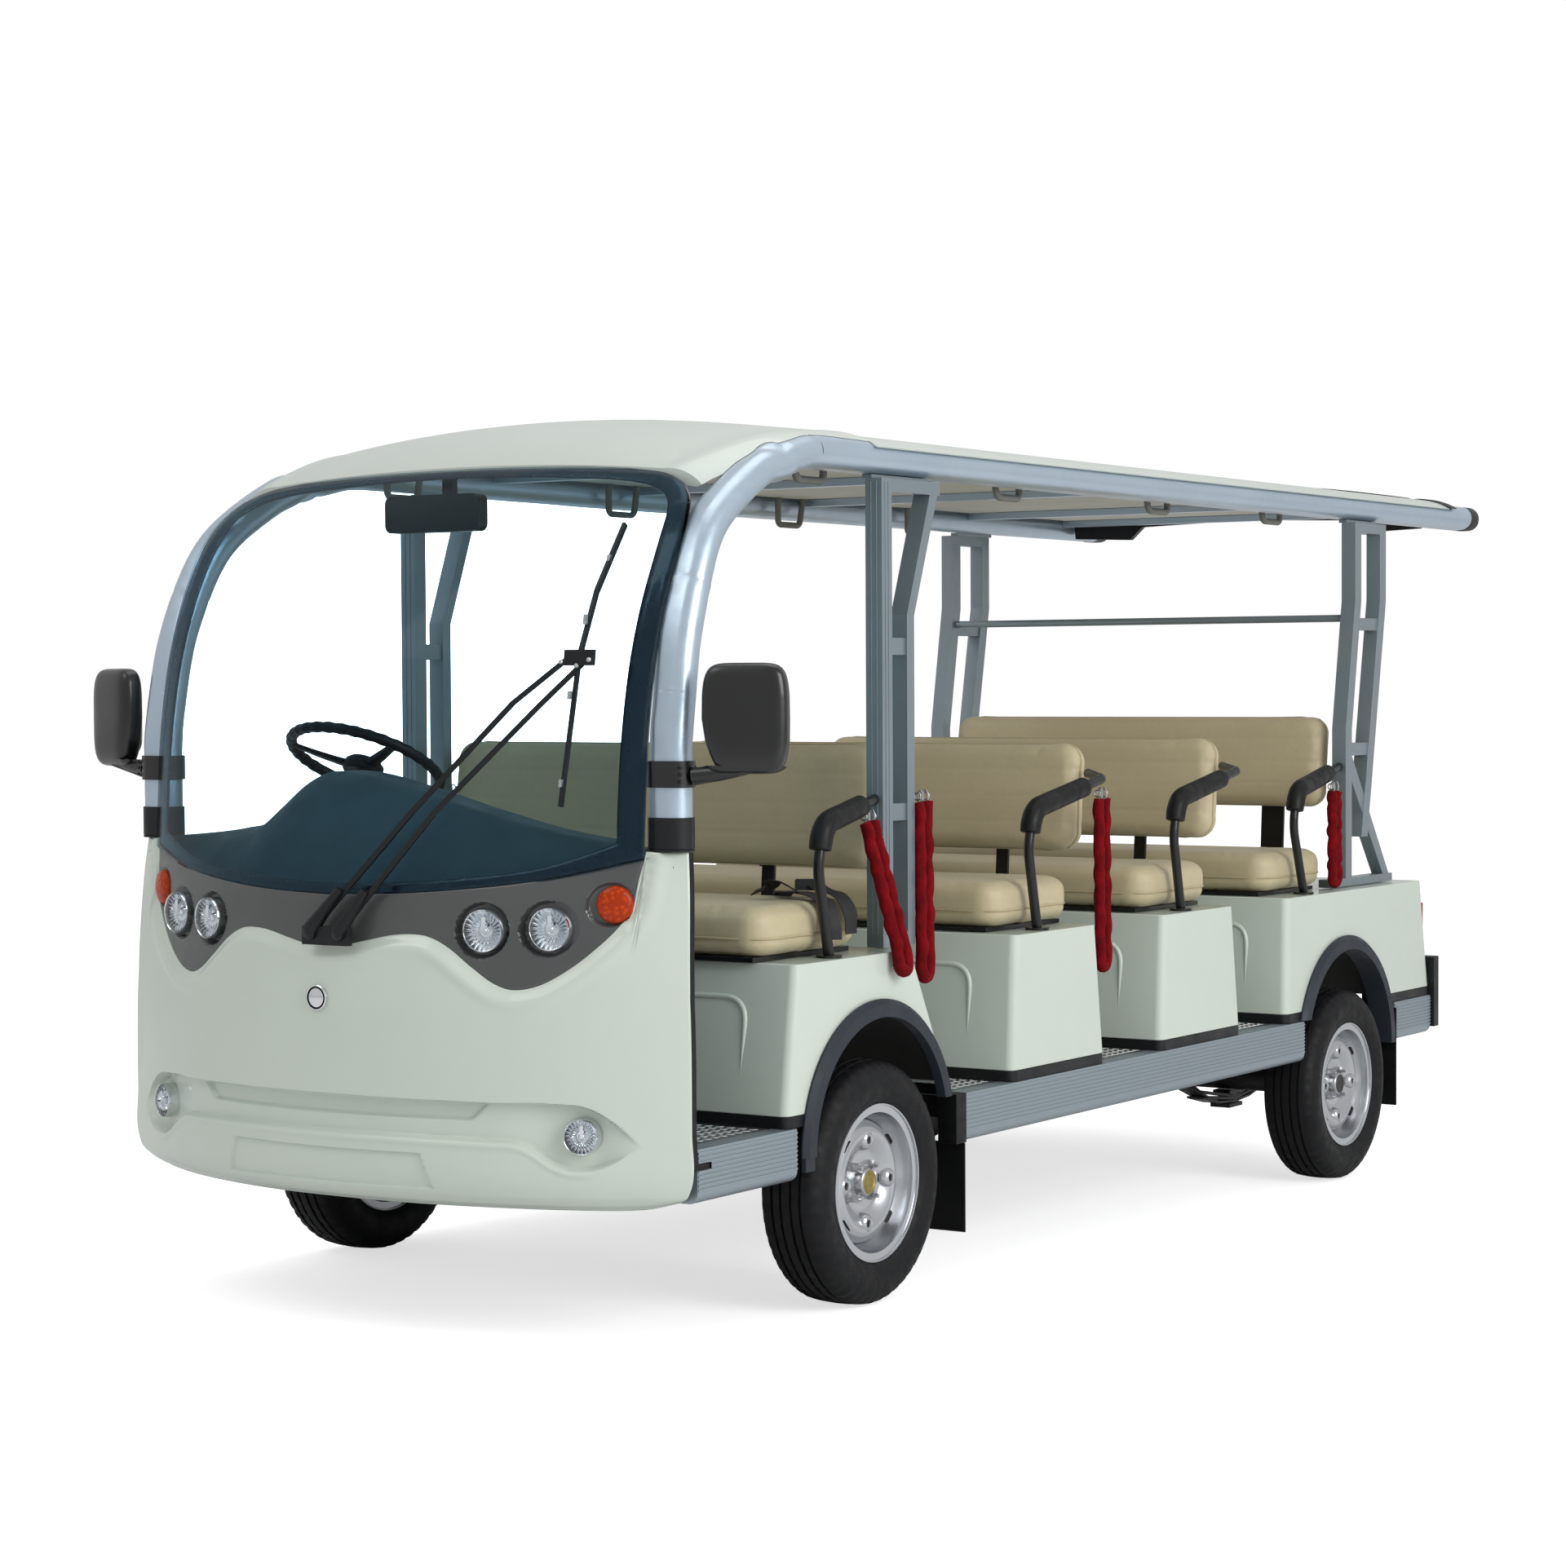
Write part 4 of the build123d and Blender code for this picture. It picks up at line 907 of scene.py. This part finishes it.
WHEELS = {"front_left": (1, 0.0), "front_right": (-1, 0.0),
          "rear_left": (1, WHEELBASE), "rear_right": (-1, WHEELBASE)}
for name, (side, station) in WHEELS.items():
    at = Matrix.Translation((side * TRACK_HALF, station, HUB_HEIGHT))
    add_piece(f"tread_{name}", move(tyre_mesh(), at), TYRE, f"wheel_{name}",
              (f"tyre_{name}",), AXLE_PLACE, sharp=32)
    wheel = move(wheel_disc(), at @ Matrix.Rotation(0 if side > 0 else pi, 4, "Z"))
    # The second finish, black rubber, is the painted shade of the slots and boss holes.
    finishes = [WHEEL_SILVER, RUBBER, STEEL, BRASS if station == 0 else AXLE_GREY]
    add_piece(f"disc_{name}", wheel, finishes,
              f"wheel_{name}", (f"rim_{name}",), AXLE_PLACE, sharp=40)

# CAD nodes that only need eased edges and a finish: node, piece, finish, edge, sharp angle
DRESSED = [
    ("front_hoops", "hoop_tubes", SATIN, 0.0, 40),
    ("roof_rails", "side_rails", SATIN, 0.0, 40),
    ("rail_trim", "rail_collars", BLACK_PLASTIC, 0.0015, 35),
    ("roof_panel", "roof_skin", ROOF_CREAM, 0.0, 30),
    ("roof_lining", "ceiling_board", LINING, 0.001, 35),
    ("roof_front", "roof_cap", ROOF_CREAM, 0.003, 30),
    ("roof_tail", "tail_visor", BLACK_PLASTIC, 0.0015, 35),
    ("grab_handles", "ceiling_grips", GREY_PLASTIC, 0.0, 40),
    ("mid_pillars", "ladder_pillars", PILLAR, 0.0015, 35),
    ("rear_pillars", "braced_pillars", PILLAR, 0.0015, 35),
    ("seat_boxes", "bench_boxes", CREAM, 0.004, 35),
    ("rear_body", "tail_box", CREAM, 0.004, 35),
    ("base_strips", "foot_strips", BLACK_PLASTIC, 0.0015, 35),
    ("wheel_flares", "arch_flares", FLARE, 0.002, 30),
    ("wheel_liners", "arch_liners", CHASSIS, 0.0, 40),
    ("seat_frames", "bench_frames", BLACK_PAINT, 0.001, 35),
    ("arm_rails", "arm_tubes", BLACK_PAINT, 0.0, 40),
    ("steering_column", "column_tube", BLACK_PLASTIC, 0.001, 35),
    ("tail_lamps", "tail_lenses", RED, 0.003, 35),
    ("rear_bumper", "bumper_bar", BLACK_PLASTIC, 0.004, 35),
    ("floor_deck", "deck_sheet", CHEQUER, 0.0, 35),
    ("side_sills", "sill_steps", SILL, 0.001, 35),
    ("chassis_frame", "ladder_frame", CHASSIS, 0.001, 35),
    ("leaf_springs", "leaf_packs", AXLE_GREY, 0.0005, 35),
    ("battery_block", "battery_case", CHASSIS, 0.003, 35),
    ("drive_motor", "motor_case", AXLE_GREY, 0.002, 35),
    ("front_axle", "front_beam", CHASSIS, 0.001, 35),
    ("rear_axle", "axle_casing", AXLE_GREY, 0.001, 35),
    ("chain_clips", "clip_rings", STEEL, 0.0, 40),
]
sleeves = cad_mesh("arm_sleeves")
sleeves.normal_update()
for vert in sleeves.verts:
    vert.co += vert.normal * 0.0035
add_piece("arm_foam", sleeves, RUBBER,
          nodes=("arm_sleeves",), place=None, sharp=50, bevel=0.004)
for node, piece_name, finish, edge, sharp in DRESSED:
    from_cad(node, piece_name, finish, "body", edge, sharp)
for side in ("left", "right"):
    from_cad(f"knuckle_{side}", f"steer_knuckle_{side}", AXLE_GREY, f"knuckle_{side}", 0.001, 35)

# Black strip round the rear edge of the front shell, in place of the straight one
edges = cad_mesh("rubber_trim")
strip_end = (BODY_PLACE @ Vector((0, -720, 0))).y
loose = [v for v in edges.verts if v.co.y < strip_end]
bmesh.ops.delete(edges, geom=loose, context="VERTS")
add_piece("rubber_edges", edges, RUBBER,
          nodes=("rubber_trim",), place=None, bevel=0.0015)
edge_strip = bmesh.new()
sections = []
for k in range(34):
    z = lerp(404, 1068, k / 33)
    back, nose, radius = through(COWL_BACK, z), through(NOSE, z), bow_radius(z)
    x = sqrt(radius**2 - (nose + radius - back) ** 2)
    corners = ((-8, 0.5), (-0.4, 0.5), (-0.4, 18), (-8, 18))
    sections.append([edge_strip.verts.new((x + dx, back + dy, z)) for dx, dy in corners])
skin(edge_strip, sections)
edge_strip.faces.new(reversed(sections[0]))
edge_strip.faces.new(sections[-1])
new_box(edge_strip, (786, -742, 400), (797, -684, 414))
bmesh.ops.recalc_face_normals(edge_strip, faces=edge_strip.faces)
add_piece("shell_edge_strips", mirror_over(edge_strip), RUBBER, bevel=0.001)

# Raised line pressed into the front of each bench box

BOX_FRONTS = [(-370, -318), (640, 668), (1445, 1473), (2232, 2250)]
press_lines = bmesh.new()
for low_y, top_y in BOX_FRONTS:
    line = rounded_route([(-652, 0, 528), (-657, 0, 726), (657, 0, 726), (652, 0, 528)], 62, 8)
    line = [(x, lerp(low_y, top_y, (z - 471) / 332) + 1.5, z) for x, _, z in line]
    merge_in(press_lines, swept(line, lambda t: 6.5 * smooth(0, 0.06, t) * smooth(1, 0.94, t) + 0.4, 10))
add_piece("box_press_lines", press_lines, CREAM, sharp=60)

# Ribs on the sills

SILLS = [(-722, -338), (398, 2342), (3002, 3282)]
RIB_PITCH = 9.8
ribs = bmesh.new()
for start, end in SILLS:
    for n in range(9):
        z = 354 + n * RIB_PITCH
        new_box(ribs, (790.5, start + 1, z), (794.4, end - 1, z + 5.2))
add_piece("sill_ribs", mirror_over(ribs), SILL, bevel=0.0006)

# Raised tread on the floor, row after row, each row turned the other way

FLOOR_GAPS = [(-728, -385), (380, 636), (1130, 1441), (1935, 2228)]
TREAD_PITCH = 15
TREAD_SPAN = (-735, 720)
TREAD_Z = 444.4
tread = bmesh.new()
for start, end in FLOOR_GAPS:
    for row in range(int((end - start) / TREAD_PITCH)):
        line = bmesh.new()
        first_x = TREAD_SPAN[0] + (TREAD_PITCH if row % 2 else 0)
        turn = radians(45 if row % 2 else -45)
        for x in range(first_x, TREAD_SPAN[1] + 1, 2 * TREAD_PITCH):
            place = (Matrix.Translation((x, start + 10 + TREAD_PITCH * row, TREAD_Z))
                     @ Matrix.Rotation(turn, 4, "Z") @ Matrix.Diagonal((2.9, 1, 1, 1)))
            bmesh.ops.create_cone(line, cap_ends=True, segments=4,
                                  radius1=4.4, radius2=2.6, depth=1.8, matrix=place)
        merge_in(tread, line)
# The tread takes the lighter copy of the deck alloy, a painted highlight.
add_piece("floor_tread", tread, PAINTED_HIGHLIGHT_TREAD, sharp=20)

# Ribs along the middle pillars

pillar_lines = bmesh.new()
for x in (690, 705):
    new_box(pillar_lines, (x, 142.6, 836), (x + 2.5, 144.2, 1890))
for y in (158, 172):
    new_box(pillar_lines, (720.6, y, 836), (722.4, y + 2.5, 1890))
add_piece("pillar_ribs", mirror_over(pillar_lines), PILLAR, bevel=0.0005)

# Clamp bolts of the mirror arms and the joint ring of each roof rail

fittings = bmesh.new()
for z in (1218, 1233, 1248):
    for side in (1, -1):
        for y in (-752, -700):
            spot = Matrix.Translation((side * 775, y, z))
            bmesh.ops.create_icosphere(fittings, subdivisions=2, radius=4, matrix=spot)
JOINT_Y = -110
for side in (1, -1):
    angles = [2 * pi * k / 40 for k in range(40)]
    ring = [(side * (675 + 47.6 * cos(a)), JOINT_Y, 1946 + 37.6 * sin(a)) for a in angles]
    merge_in(fittings, swept(ring, 1.2, 6, loop=True))
add_piece("clamp_bolts", fittings, BLACK_PAINT)

# Wiper: arms, clips and the covers of its two spindles


def along_glass(bm, place=Matrix.Identity(4)):
    """Swings the upper part of the wiper outwards along the glass."""
    back = place.inverted()
    for vert in bm.verts:
        spot = back @ vert.co
        out = 45 * max(0.0, spot.z - 898) / 582
        vert.co = place @ (spot + Vector((out, 0.282 * out, 0)))
    return bm


add_piece("wiper_arms", along_glass(cad_mesh("wiper"), BODY_PLACE),
          BLACK_PLASTIC, nodes=("wiper",), place=None,
          bevel=0.001)
glints = bmesh.new()
for x, y, z in ((476, -838, 1470), (549, -838, 1474), (513, -832, 1462)):
    bmesh.ops.create_icosphere(glints, subdivisions=2, radius=6, matrix=Matrix.Translation((x, y, z)))
for x, y, z, tall in ((517, -850, 1400, 9), (505, -796, 1560, 11),
                      (497, -716, 1690, 9), (522, -866, 1215, 8)):
    new_box(glints, (x - 3.5, y - 9, z - tall), (x + 3.5, y, z + tall))
add_piece("wiper_clips", along_glass(glints), STEEL, bevel=0.001)
ARM_FEET = [((-8, -1026, 898), (62, -1008, 985)), ((72, -1026, 898), (132, -1007, 985))]
covers = bmesh.new()
for x in (-8, 72):
    spindle = frame_at((x, -1024, 894), (0, 1, 0.15)) @ Matrix.Rotation(pi / 2, 4, "Y")
    merge_in(covers, spun([(0, 17), (9, 16), (13, 11), (14, 0.01)], 24), spindle)
for foot, tip in ARM_FEET:
    merge_in(covers, swept([foot, tip], lambda t: lerp(18, 10, t), 14))
add_piece("wiper_heads", covers, BLACK_PLASTIC)

# Wing mirrors: new heads and arms on the clamps of the solids, and their panes

MIRROR_AT = (898, -689, 1350)
MIRROR_TURN = radians(20)
# Where the clamps of the solids end, in metres
CLAMP_X = 0.798
CLAMP_TOP = 1.24


def mirror_place(side):
    across, along, height = MIRROR_AT
    return Matrix.Translation((side * across, along, height)) @ Matrix.Rotation(side * MIRROR_TURN, 4, "Z")


heads = cad_mesh("mirrors")
shells = [v for v in heads.verts if abs(v.co.x) > CLAMP_X and v.co.z > CLAMP_TOP]
bmesh.ops.delete(heads, geom=shells, context="VERTS")
for side in (1, -1):
    head = bmesh.new()
    bmesh.ops.create_uvsphere(head, u_segments=64, v_segments=40, radius=1)
    for vert in head.verts:
        x, y, z = vert.co
        out = sqrt(1 - min(1.0, abs(y)) ** 2) ** 0.4
        x, z = (abs(c) ** 0.36 * (1 if c > 0 else -1) for c in (x / hypot(x, z, 1e-6), z / hypot(x, z, 1e-6)))
        flat = abs(y) ** 0.6 * (1 if y > 0 else -1)
        x, z = x * out, z * out
        z_mm = 116 * z
        narrow = 1 - 0.16 * smooth(0.1, 1.0, -z) - 0.04 * smooth(0.2, 1.0, z)
        vert.co = (93 * x * narrow + side * 9 * smooth(0.0, 1.0, -z), (34 if flat < 0 else 26) * flat, z_mm)
    merge_in(heads, head, BODY_PLACE @ mirror_place(side))
    arm_line = [(784, -716, 1230), (850, -706, 1236), (930, -676, 1256), (968, -664, 1300)]
    arm_line = [(side * x, y, z) for x, y, z in arm_line]
    arm = swept(rounded_route(arm_line, 40), lambda t: lerp(18, 13, t), 14)
    merge_in(heads, arm, BODY_PLACE)
add_piece("mirror_shells", heads, GLOSS_BLACK, nodes=("mirrors",), place=None, sharp=50)
for side, label in ((1, "left"), (-1, "right")):
    pane = pad_mesh(138, 186, 3, 44, 1)
    pane_place = mirror_place(side) @ Matrix.Translation((0, 25.4, 4)) @ Matrix.Rotation(pi / 2, 4, "X")
    add_piece(f"mirror_pane_{label}", move(pane, pane_place), MIRROR_GLASS)

# Lap belt on the first bench, its loose end and buckle


def strap(points, width, thick, twist=0.0):
    """Flat webbing along points."""
    bm = bmesh.new()
    rows = []
    points = [Vector(p) for p in points]
    for n, point in enumerate(points):
        along = (points[min(n + 1, len(points) - 1)] - points[max(n - 1, 0)]).normalized()
        up = Vector((0, sin(twist * n), cos(twist * n)))
        side = along.cross(up).normalized()
        over = side.cross(along)
        rows.append([bm.verts.new(point + side * a * width / 2 + over * b * thick / 2)
                     for a, b in ((-1, -1), (1, -1), (1, 1), (-1, 1))])
    skin(bm, rows)
    bm.faces.new(reversed(rows[0]))
    bm.faces.new(rows[-1])
    bmesh.ops.recalc_face_normals(bm, faces=bm.faces)
    return bm


LONG_END = [(470, 78, 905), (500, 62, 934), (540, 10, 941), (570, -40, 943), (640, -66, 944),
            (690, -84, 938), (722, -96, 915), (736, -104, 880), (738, -106, 842)]
BUCKLE_END = [(735, -20, 850), (734, -20, 905), (700, -14, 941), (650, 0, 945), (604, 22, 960)]
LOOSE_END = [(628, -76, 946), (590, -110, 975), (560, -96, 957), (540, -130, 944)]
belt = strap(rounded_route(LONG_END, 30, 5), 46, 2.4)
merge_in(belt, strap(rounded_route(BUCKLE_END, 22, 5), 46, 2.4))
buckle = new_box(belt, (566, -8, 945), (620, 40, 969))
bmesh.ops.rotate(belt, cent=(593, 16, 957), matrix=Matrix.Rotation(0.5, 3, "Z"), verts=buckle)
merge_in(belt, strap(rounded_route(LOOSE_END, 14, 4), 40, 2.4, 0.05))
add_piece("lap_belt", belt, WEBBING, bevel=0.001)

# Seats: front and rear of each cushion, then place, half width, low and high edge of each back

ROWS = [(-360, 90, 240, 654, 970, 1290), (680, 1110, 1225, 654, 968, 1273),
        (1485, 1915, 2030, 654, 968, 1273), (2260, 2685, 2800, 650, 1030, 1325)]
CUSHION_SIZE = (1426, 418, 98)
BACK_SIZE = (1296, 293, 68)
PAD_CLEARANCE = 12
SWELL_FRAMES = 20
WELT_STEPS = 200


def swell(piece, voxel, pressure, cap):
    """Remeshes a pad, blows it up as cloth for a moment and keeps the result."""
    remesh = piece.modifiers.new("remesh", "REMESH")
    remesh.mode = "VOXEL"
    remesh.voxel_size = voxel
    bpy.context.view_layer.objects.active = piece
    bpy.ops.object.modifier_apply(modifier="remesh")
    rest = [v.co.copy() for v in piece.data.vertices]
    cloth = piece.modifiers.new("cloth", "CLOTH")
    cloth.settings.use_pressure = True
    cloth.settings.uniform_pressure_force = pressure
    cloth.settings.effector_weights.gravity = 0
    cloth.settings.quality = 4
    cloth.point_cache.frame_start = 1
    cloth.point_cache.frame_end = SWELL_FRAMES
    for moment in range(1, SWELL_FRAMES + 1):
        bpy.context.scene.frame_set(moment)
    solved = piece.evaluated_get(bpy.context.evaluated_depsgraph_get()).to_mesh()
    moved = [v.co.copy() for v in solved.vertices]
    piece.modifiers.remove(cloth)
    bpy.context.scene.frame_set(1)
    for vert, start, end in zip(piece.data.vertices, rest, moved):
        step = end - start
        if step.length > cap:
            step *= cap / step.length
        vert.co = start + step
    relax = piece.modifiers.new("relax", "SMOOTH")
    relax.factor = 0.5
    relax.iterations = 4
    bpy.ops.object.modifier_apply(modifier="relax")
    piece.data.shade_smooth()


def welt(mesh, half_x, half_y, corner, level, radius):
    """A round piping laid on a pad along its outline at one level."""
    spots = []
    for k in range(WELT_STEPS):
        angle = 2 * pi * (k + 0.5) / WELT_STEPS
        dx, dy = cos(angle), sin(angle)
        reach = 1 / max(abs(dx) / half_x, abs(dy) / half_y)
        x, y = dx * reach, dy * reach
        over_x, over_y = abs(x) - (half_x - corner), abs(y) - (half_y - corner)
        if over_x > 0 and over_y > 0:
            shrink = corner / hypot(over_x, over_y)
            x = (half_x - corner + over_x * shrink) * (1 if x > 0 else -1)
            y = (half_y - corner + over_y * shrink) * (1 if y > 0 else -1)
        spots.append(Vector((x * 1.04, y * 1.1, level)))
    tree = bvhtree.BVHTree.FromBMesh(mesh)
    line = [tree.find_nearest(spot)[0] for spot in spots]
    return swept(line, radius, 8, loop=True)


def upholster(name, size, corner, roll, lines, level):
    """One swollen pad with pressed seams and a welt, in metres, its face at +Z."""
    width, length, height = (part / 1000 for part in size)
    bm = pad_mesh(width, length, height, corner / 1000, roll / 1000)
    mesh = bpy.data.meshes.new(name)
    bm.to_mesh(mesh)
    first = in_scene(name, mesh)
    swell(first, 0.006, 4.0, 0.008)
    bm.clear()
    bm.from_mesh(first.data)
    bpy.data.objects.remove(first)
    bm.normal_update()
    for vert in bm.verts:
        press = 0.0
        for axis, at, wide, deep in lines:
            if vert.normal.z > 0.25:
                press += deep * exp(-((vert.co[axis] - at) / wide) ** 2)
        press += 0.0022 * exp(-((vert.co.z - level) / 0.005) ** 2) * (1 - abs(vert.normal.z))
        vert.co -= vert.normal * press
    bm.normal_update()
    rope = welt(bm, width / 2, length / 2, corner / 1000, level, 0.0032)
    merge_in(bm, give_finish(rope, 1))
    mesh = mesh_of(name, bm)
    mesh.materials.append(LEATHER)
    mesh.materials.append(PIPING)
    mesh.shade_smooth()
    return mesh


def pad(name, source, place, node):
    mesh = source.copy()
    mesh.transform(place)
    piece = in_scene(name, mesh)
    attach(piece, "body")
    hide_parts(node)
    return piece


def metres_place(matrix_mm):
    """The place of a piece that is drawn in metres."""
    return BODY_PLACE @ matrix_mm @ Matrix.Scale(1000, 4)


# Pressed seams: axis, place, width and depth
CUSHION_SEAMS = [(1, 0.13, 0.004, 0.0016), (1, -0.13, 0.004, 0.0012)]
BACK_SEAMS = [(1, y, 0.003, 0.0014) for y in (-0.07, 0.0, 0.07)]
CUSHION = upholster("cushion shape", CUSHION_SIZE, 62, 30, CUSHION_SEAMS, -0.02)
BACKREST = upholster("back shape", BACK_SIZE, 54, 24, BACK_SEAMS, 0.012)
ROW_NAMES = ("first", "second", "third", "fourth")
for row, (front, end, back_y, back_half, low, high) in zip(ROW_NAMES, ROWS):
    stretch = Matrix.Diagonal((1, (end - front - PAD_CLEARANCE) / CUSHION_SIZE[1], 1, 1))
    middle = Matrix.Translation((0, (front + end) / 2, 871))
    pad(f"cushion_{row}", CUSHION, metres_place(middle) @ stretch, "seat_cushions")
    back_width = 2 * back_half - PAD_CLEARANCE
    back_height = high - low - PAD_CLEARANCE
    stretch = Matrix.Diagonal((back_width / BACK_SIZE[0], back_height / BACK_SIZE[1], 1, 1))
    lean = Matrix.Translation((0, back_y + 40, (low + high) / 2)) @ Matrix.Rotation(radians(84), 4, "X")
    pad(f"backrest_{row}", BACKREST, metres_place(lean) @ stretch, "seat_backs")

# Hanging chains in velvet: place, top and low height, sideways drift of the lower end
CHAINS = [("first", 716, 92, 1100, 760, 94), ("second", 722, 324, 1140, 724, 6),
          ("third", 738, 1201, 1120, 684, 4), ("fourth", 744, 2662, 1096, 824, 2)]
CHAIN_RADIUS = 15.0
CHAIN_GAP = 36.0
CHAIN_STEPS = 15


def chain_route(x, y, top, low, drift):
    """Down one strand, round the fold and up the other, with small waves."""
    down = []
    for n in range(CHAIN_STEPS):
        t = n / CHAIN_STEPS
        wave = 2.6 * sin(2.1 * n + x)
        sway = 2.2 * cos(1.7 * n + y)
        down.append((x + drift * t + wave, y - CHAIN_GAP / 2 + sway, top - (top - low - 20) * t))
    up = [(px - 1.5, 2 * y - py, pz) for px, py, pz in reversed(down)]
    fold = [(x + drift, y - CHAIN_GAP / 2, low), (x + drift, y + CHAIN_GAP / 2, low)]
    return down + fold + up


def line_length(curve):
    mesh = curve.to_mesh()
    ends = [[mesh.vertices[n].co for n in edge.vertices] for edge in mesh.edges]
    total = sum((start - end).length for start, end in ends)
    curve.to_mesh_clear()
    return total


for row, x, y, top, low, drift in CHAINS:
    for side, label in ((1, "left"), (-1, "right")):
        route = chain_route(x, y, top, low, drift)
        points = [BODY_PLACE @ Vector((side * px, py, pz)) for px, py, pz in route]
        data = bpy.data.curves.new(f"velvet_{row}_{label}", "CURVE")
        data.dimensions = "3D"
        spline = data.splines.new("NURBS")
        spline.points.add(len(points) - 1)
        for number, (spot, point) in enumerate(zip(spline.points, points)):
            spot.co = (*point, 1)
            spot.radius = 1.12 if number % 2 else 0.86
        spline.order_u = 3
        spline.use_endpoint_u = True
        data.resolution_u = 8
        cord = in_scene(f"velvet_{row}_{label}", data)
        bpy.context.view_layer.update()
        length = line_length(cord)
        data.bevel_depth = CHAIN_RADIUS / 1000
        data.bevel_resolution = 4
        data.use_fill_caps = True
        data.materials.append(VELVET)
        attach(cord, "body")
        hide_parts(f"seat_chain_{row}_{label}")
        tuple(points[0])

# Spring hooks at the top of each chain

hooks = bmesh.new()
for _, x, y, top, _, _ in CHAINS:
    for dy in (-CHAIN_GAP / 2, CHAIN_GAP / 2):
        ring = []
        for k in range(28):
            a = 2 * pi * k / 28
            ring.append((x + 6.5 * cos(a), y + dy * 0.7, top + 11 + (17 if sin(a) > 0 else 13) * sin(a)))
        merge_in(hooks, swept(ring, 2.3, 8, loop=True))
add_piece("spring_hooks", mirror_over(hooks), STEEL)

# Camera, light and floor

camera_data = bpy.data.cameras.new("camera")
camera_data.lens = 75.9
camera_data.sensor_width = 36
camera = in_scene("camera", camera_data)
camera.matrix_world = (Matrix.Translation((4.735, -6.428 - Y_MIDDLE / 1000, 1.301))
                       @ Matrix.Rotation(radians(33.21), 4, "Z")
                       @ Matrix.Rotation(radians(90 - 0.964), 4, "X")
                       @ Matrix.Rotation(radians(0.294), 4, "Z"))
camera_data.shift_y = 0.00476
camera_data.clip_end = 100
bpy.context.scene.camera = camera
bpy.context.scene.view_settings.view_transform = "Standard"

world = bpy.data.worlds.new("white room")
world.use_nodes = True
bpy.context.scene.world = world
nodes, links = world.node_tree.nodes, world.node_tree.links
background = nodes["Background"]
background.inputs["Color"].default_value = (1, 1, 1, 1)


def path_level(tree, plain, seen, behind_glass):
    """A strength that depends on how a ray comes: reflected, straight from the camera or through glass."""
    paths = tree.nodes.new("ShaderNodeLightPath")
    first = tree.nodes.new("ShaderNodeMapRange")
    first.inputs["To Min"].default_value = plain
    first.inputs["To Max"].default_value = seen
    tree.links.new(paths.outputs["Is Camera Ray"], first.inputs["Value"])
    direct = tree.nodes.new("ShaderNodeMath")
    direct.operation = "LESS_THAN"
    bounces = tree.nodes.new("ShaderNodeMath")
    tree.links.new(paths.outputs["Diffuse Depth"], bounces.inputs[0])
    tree.links.new(paths.outputs["Glossy Depth"], bounces.inputs[1])
    tree.links.new(bounces.outputs[0], direct.inputs[0])
    direct.inputs[1].default_value = 0.5
    through_glass = tree.nodes.new("ShaderNodeMath")
    through_glass.operation = "MULTIPLY"
    tree.links.new(paths.outputs["Is Transmission Ray"], through_glass.inputs[0])
    tree.links.new(direct.outputs[0], through_glass.inputs[1])
    second = tree.nodes.new("ShaderNodeMix")
    tree.links.new(through_glass.outputs[0], second.inputs["Factor"])
    tree.links.new(first.outputs["Result"], second.inputs[2])
    second.inputs[3].default_value = behind_glass
    return second.outputs[0]


links.new(path_level(world.node_tree, 0.6, 1.0, 6.0), background.inputs["Strength"])


def soft_lamp(name, place, aim, size, power):
    data = bpy.data.lights.new(name, "AREA")
    data.shape = "RECTANGLE"
    data.size, data.size_y = size
    data.energy = power
    made = in_scene(name, data)
    made.location = place
    made.rotation_euler = (Vector(aim) - Vector(place)).to_track_quat("-Z", "Y").to_euler()


soft_lamp("key", (-3.0, -7.5, 8.5), (0, -0.5, 0.8), (5, 4), 130)
soft_lamp("fill", (8.5, -2.6, 4.2), (0, 0.6, 0.8), (5, 5), 430)
soft_lamp("top", (0, 0.5, 8.5), (0, 0.4, 0), (5, 7), 140)

floor_mesh = bmesh.new()
bmesh.ops.create_circle(floor_mesh, cap_ends=True, segments=96, radius=60)
floor_data = mesh_of("floor", floor_mesh)
floor_finish = Finish("pale floor", (232, 232, 232), 0.9)
floor_finish.set("Emission Color", (1, 1, 1, 1))
floor_finish.link(path_level(floor_finish.tree, 0.0, 0.66, 5.0),
                  floor_finish.shader.inputs["Emission Strength"])
floor_data.materials.append(floor_finish.material)
floor = in_scene("floor", floor_data)
floor.location = (0, 0, -0.001)
floor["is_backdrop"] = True

low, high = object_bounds()
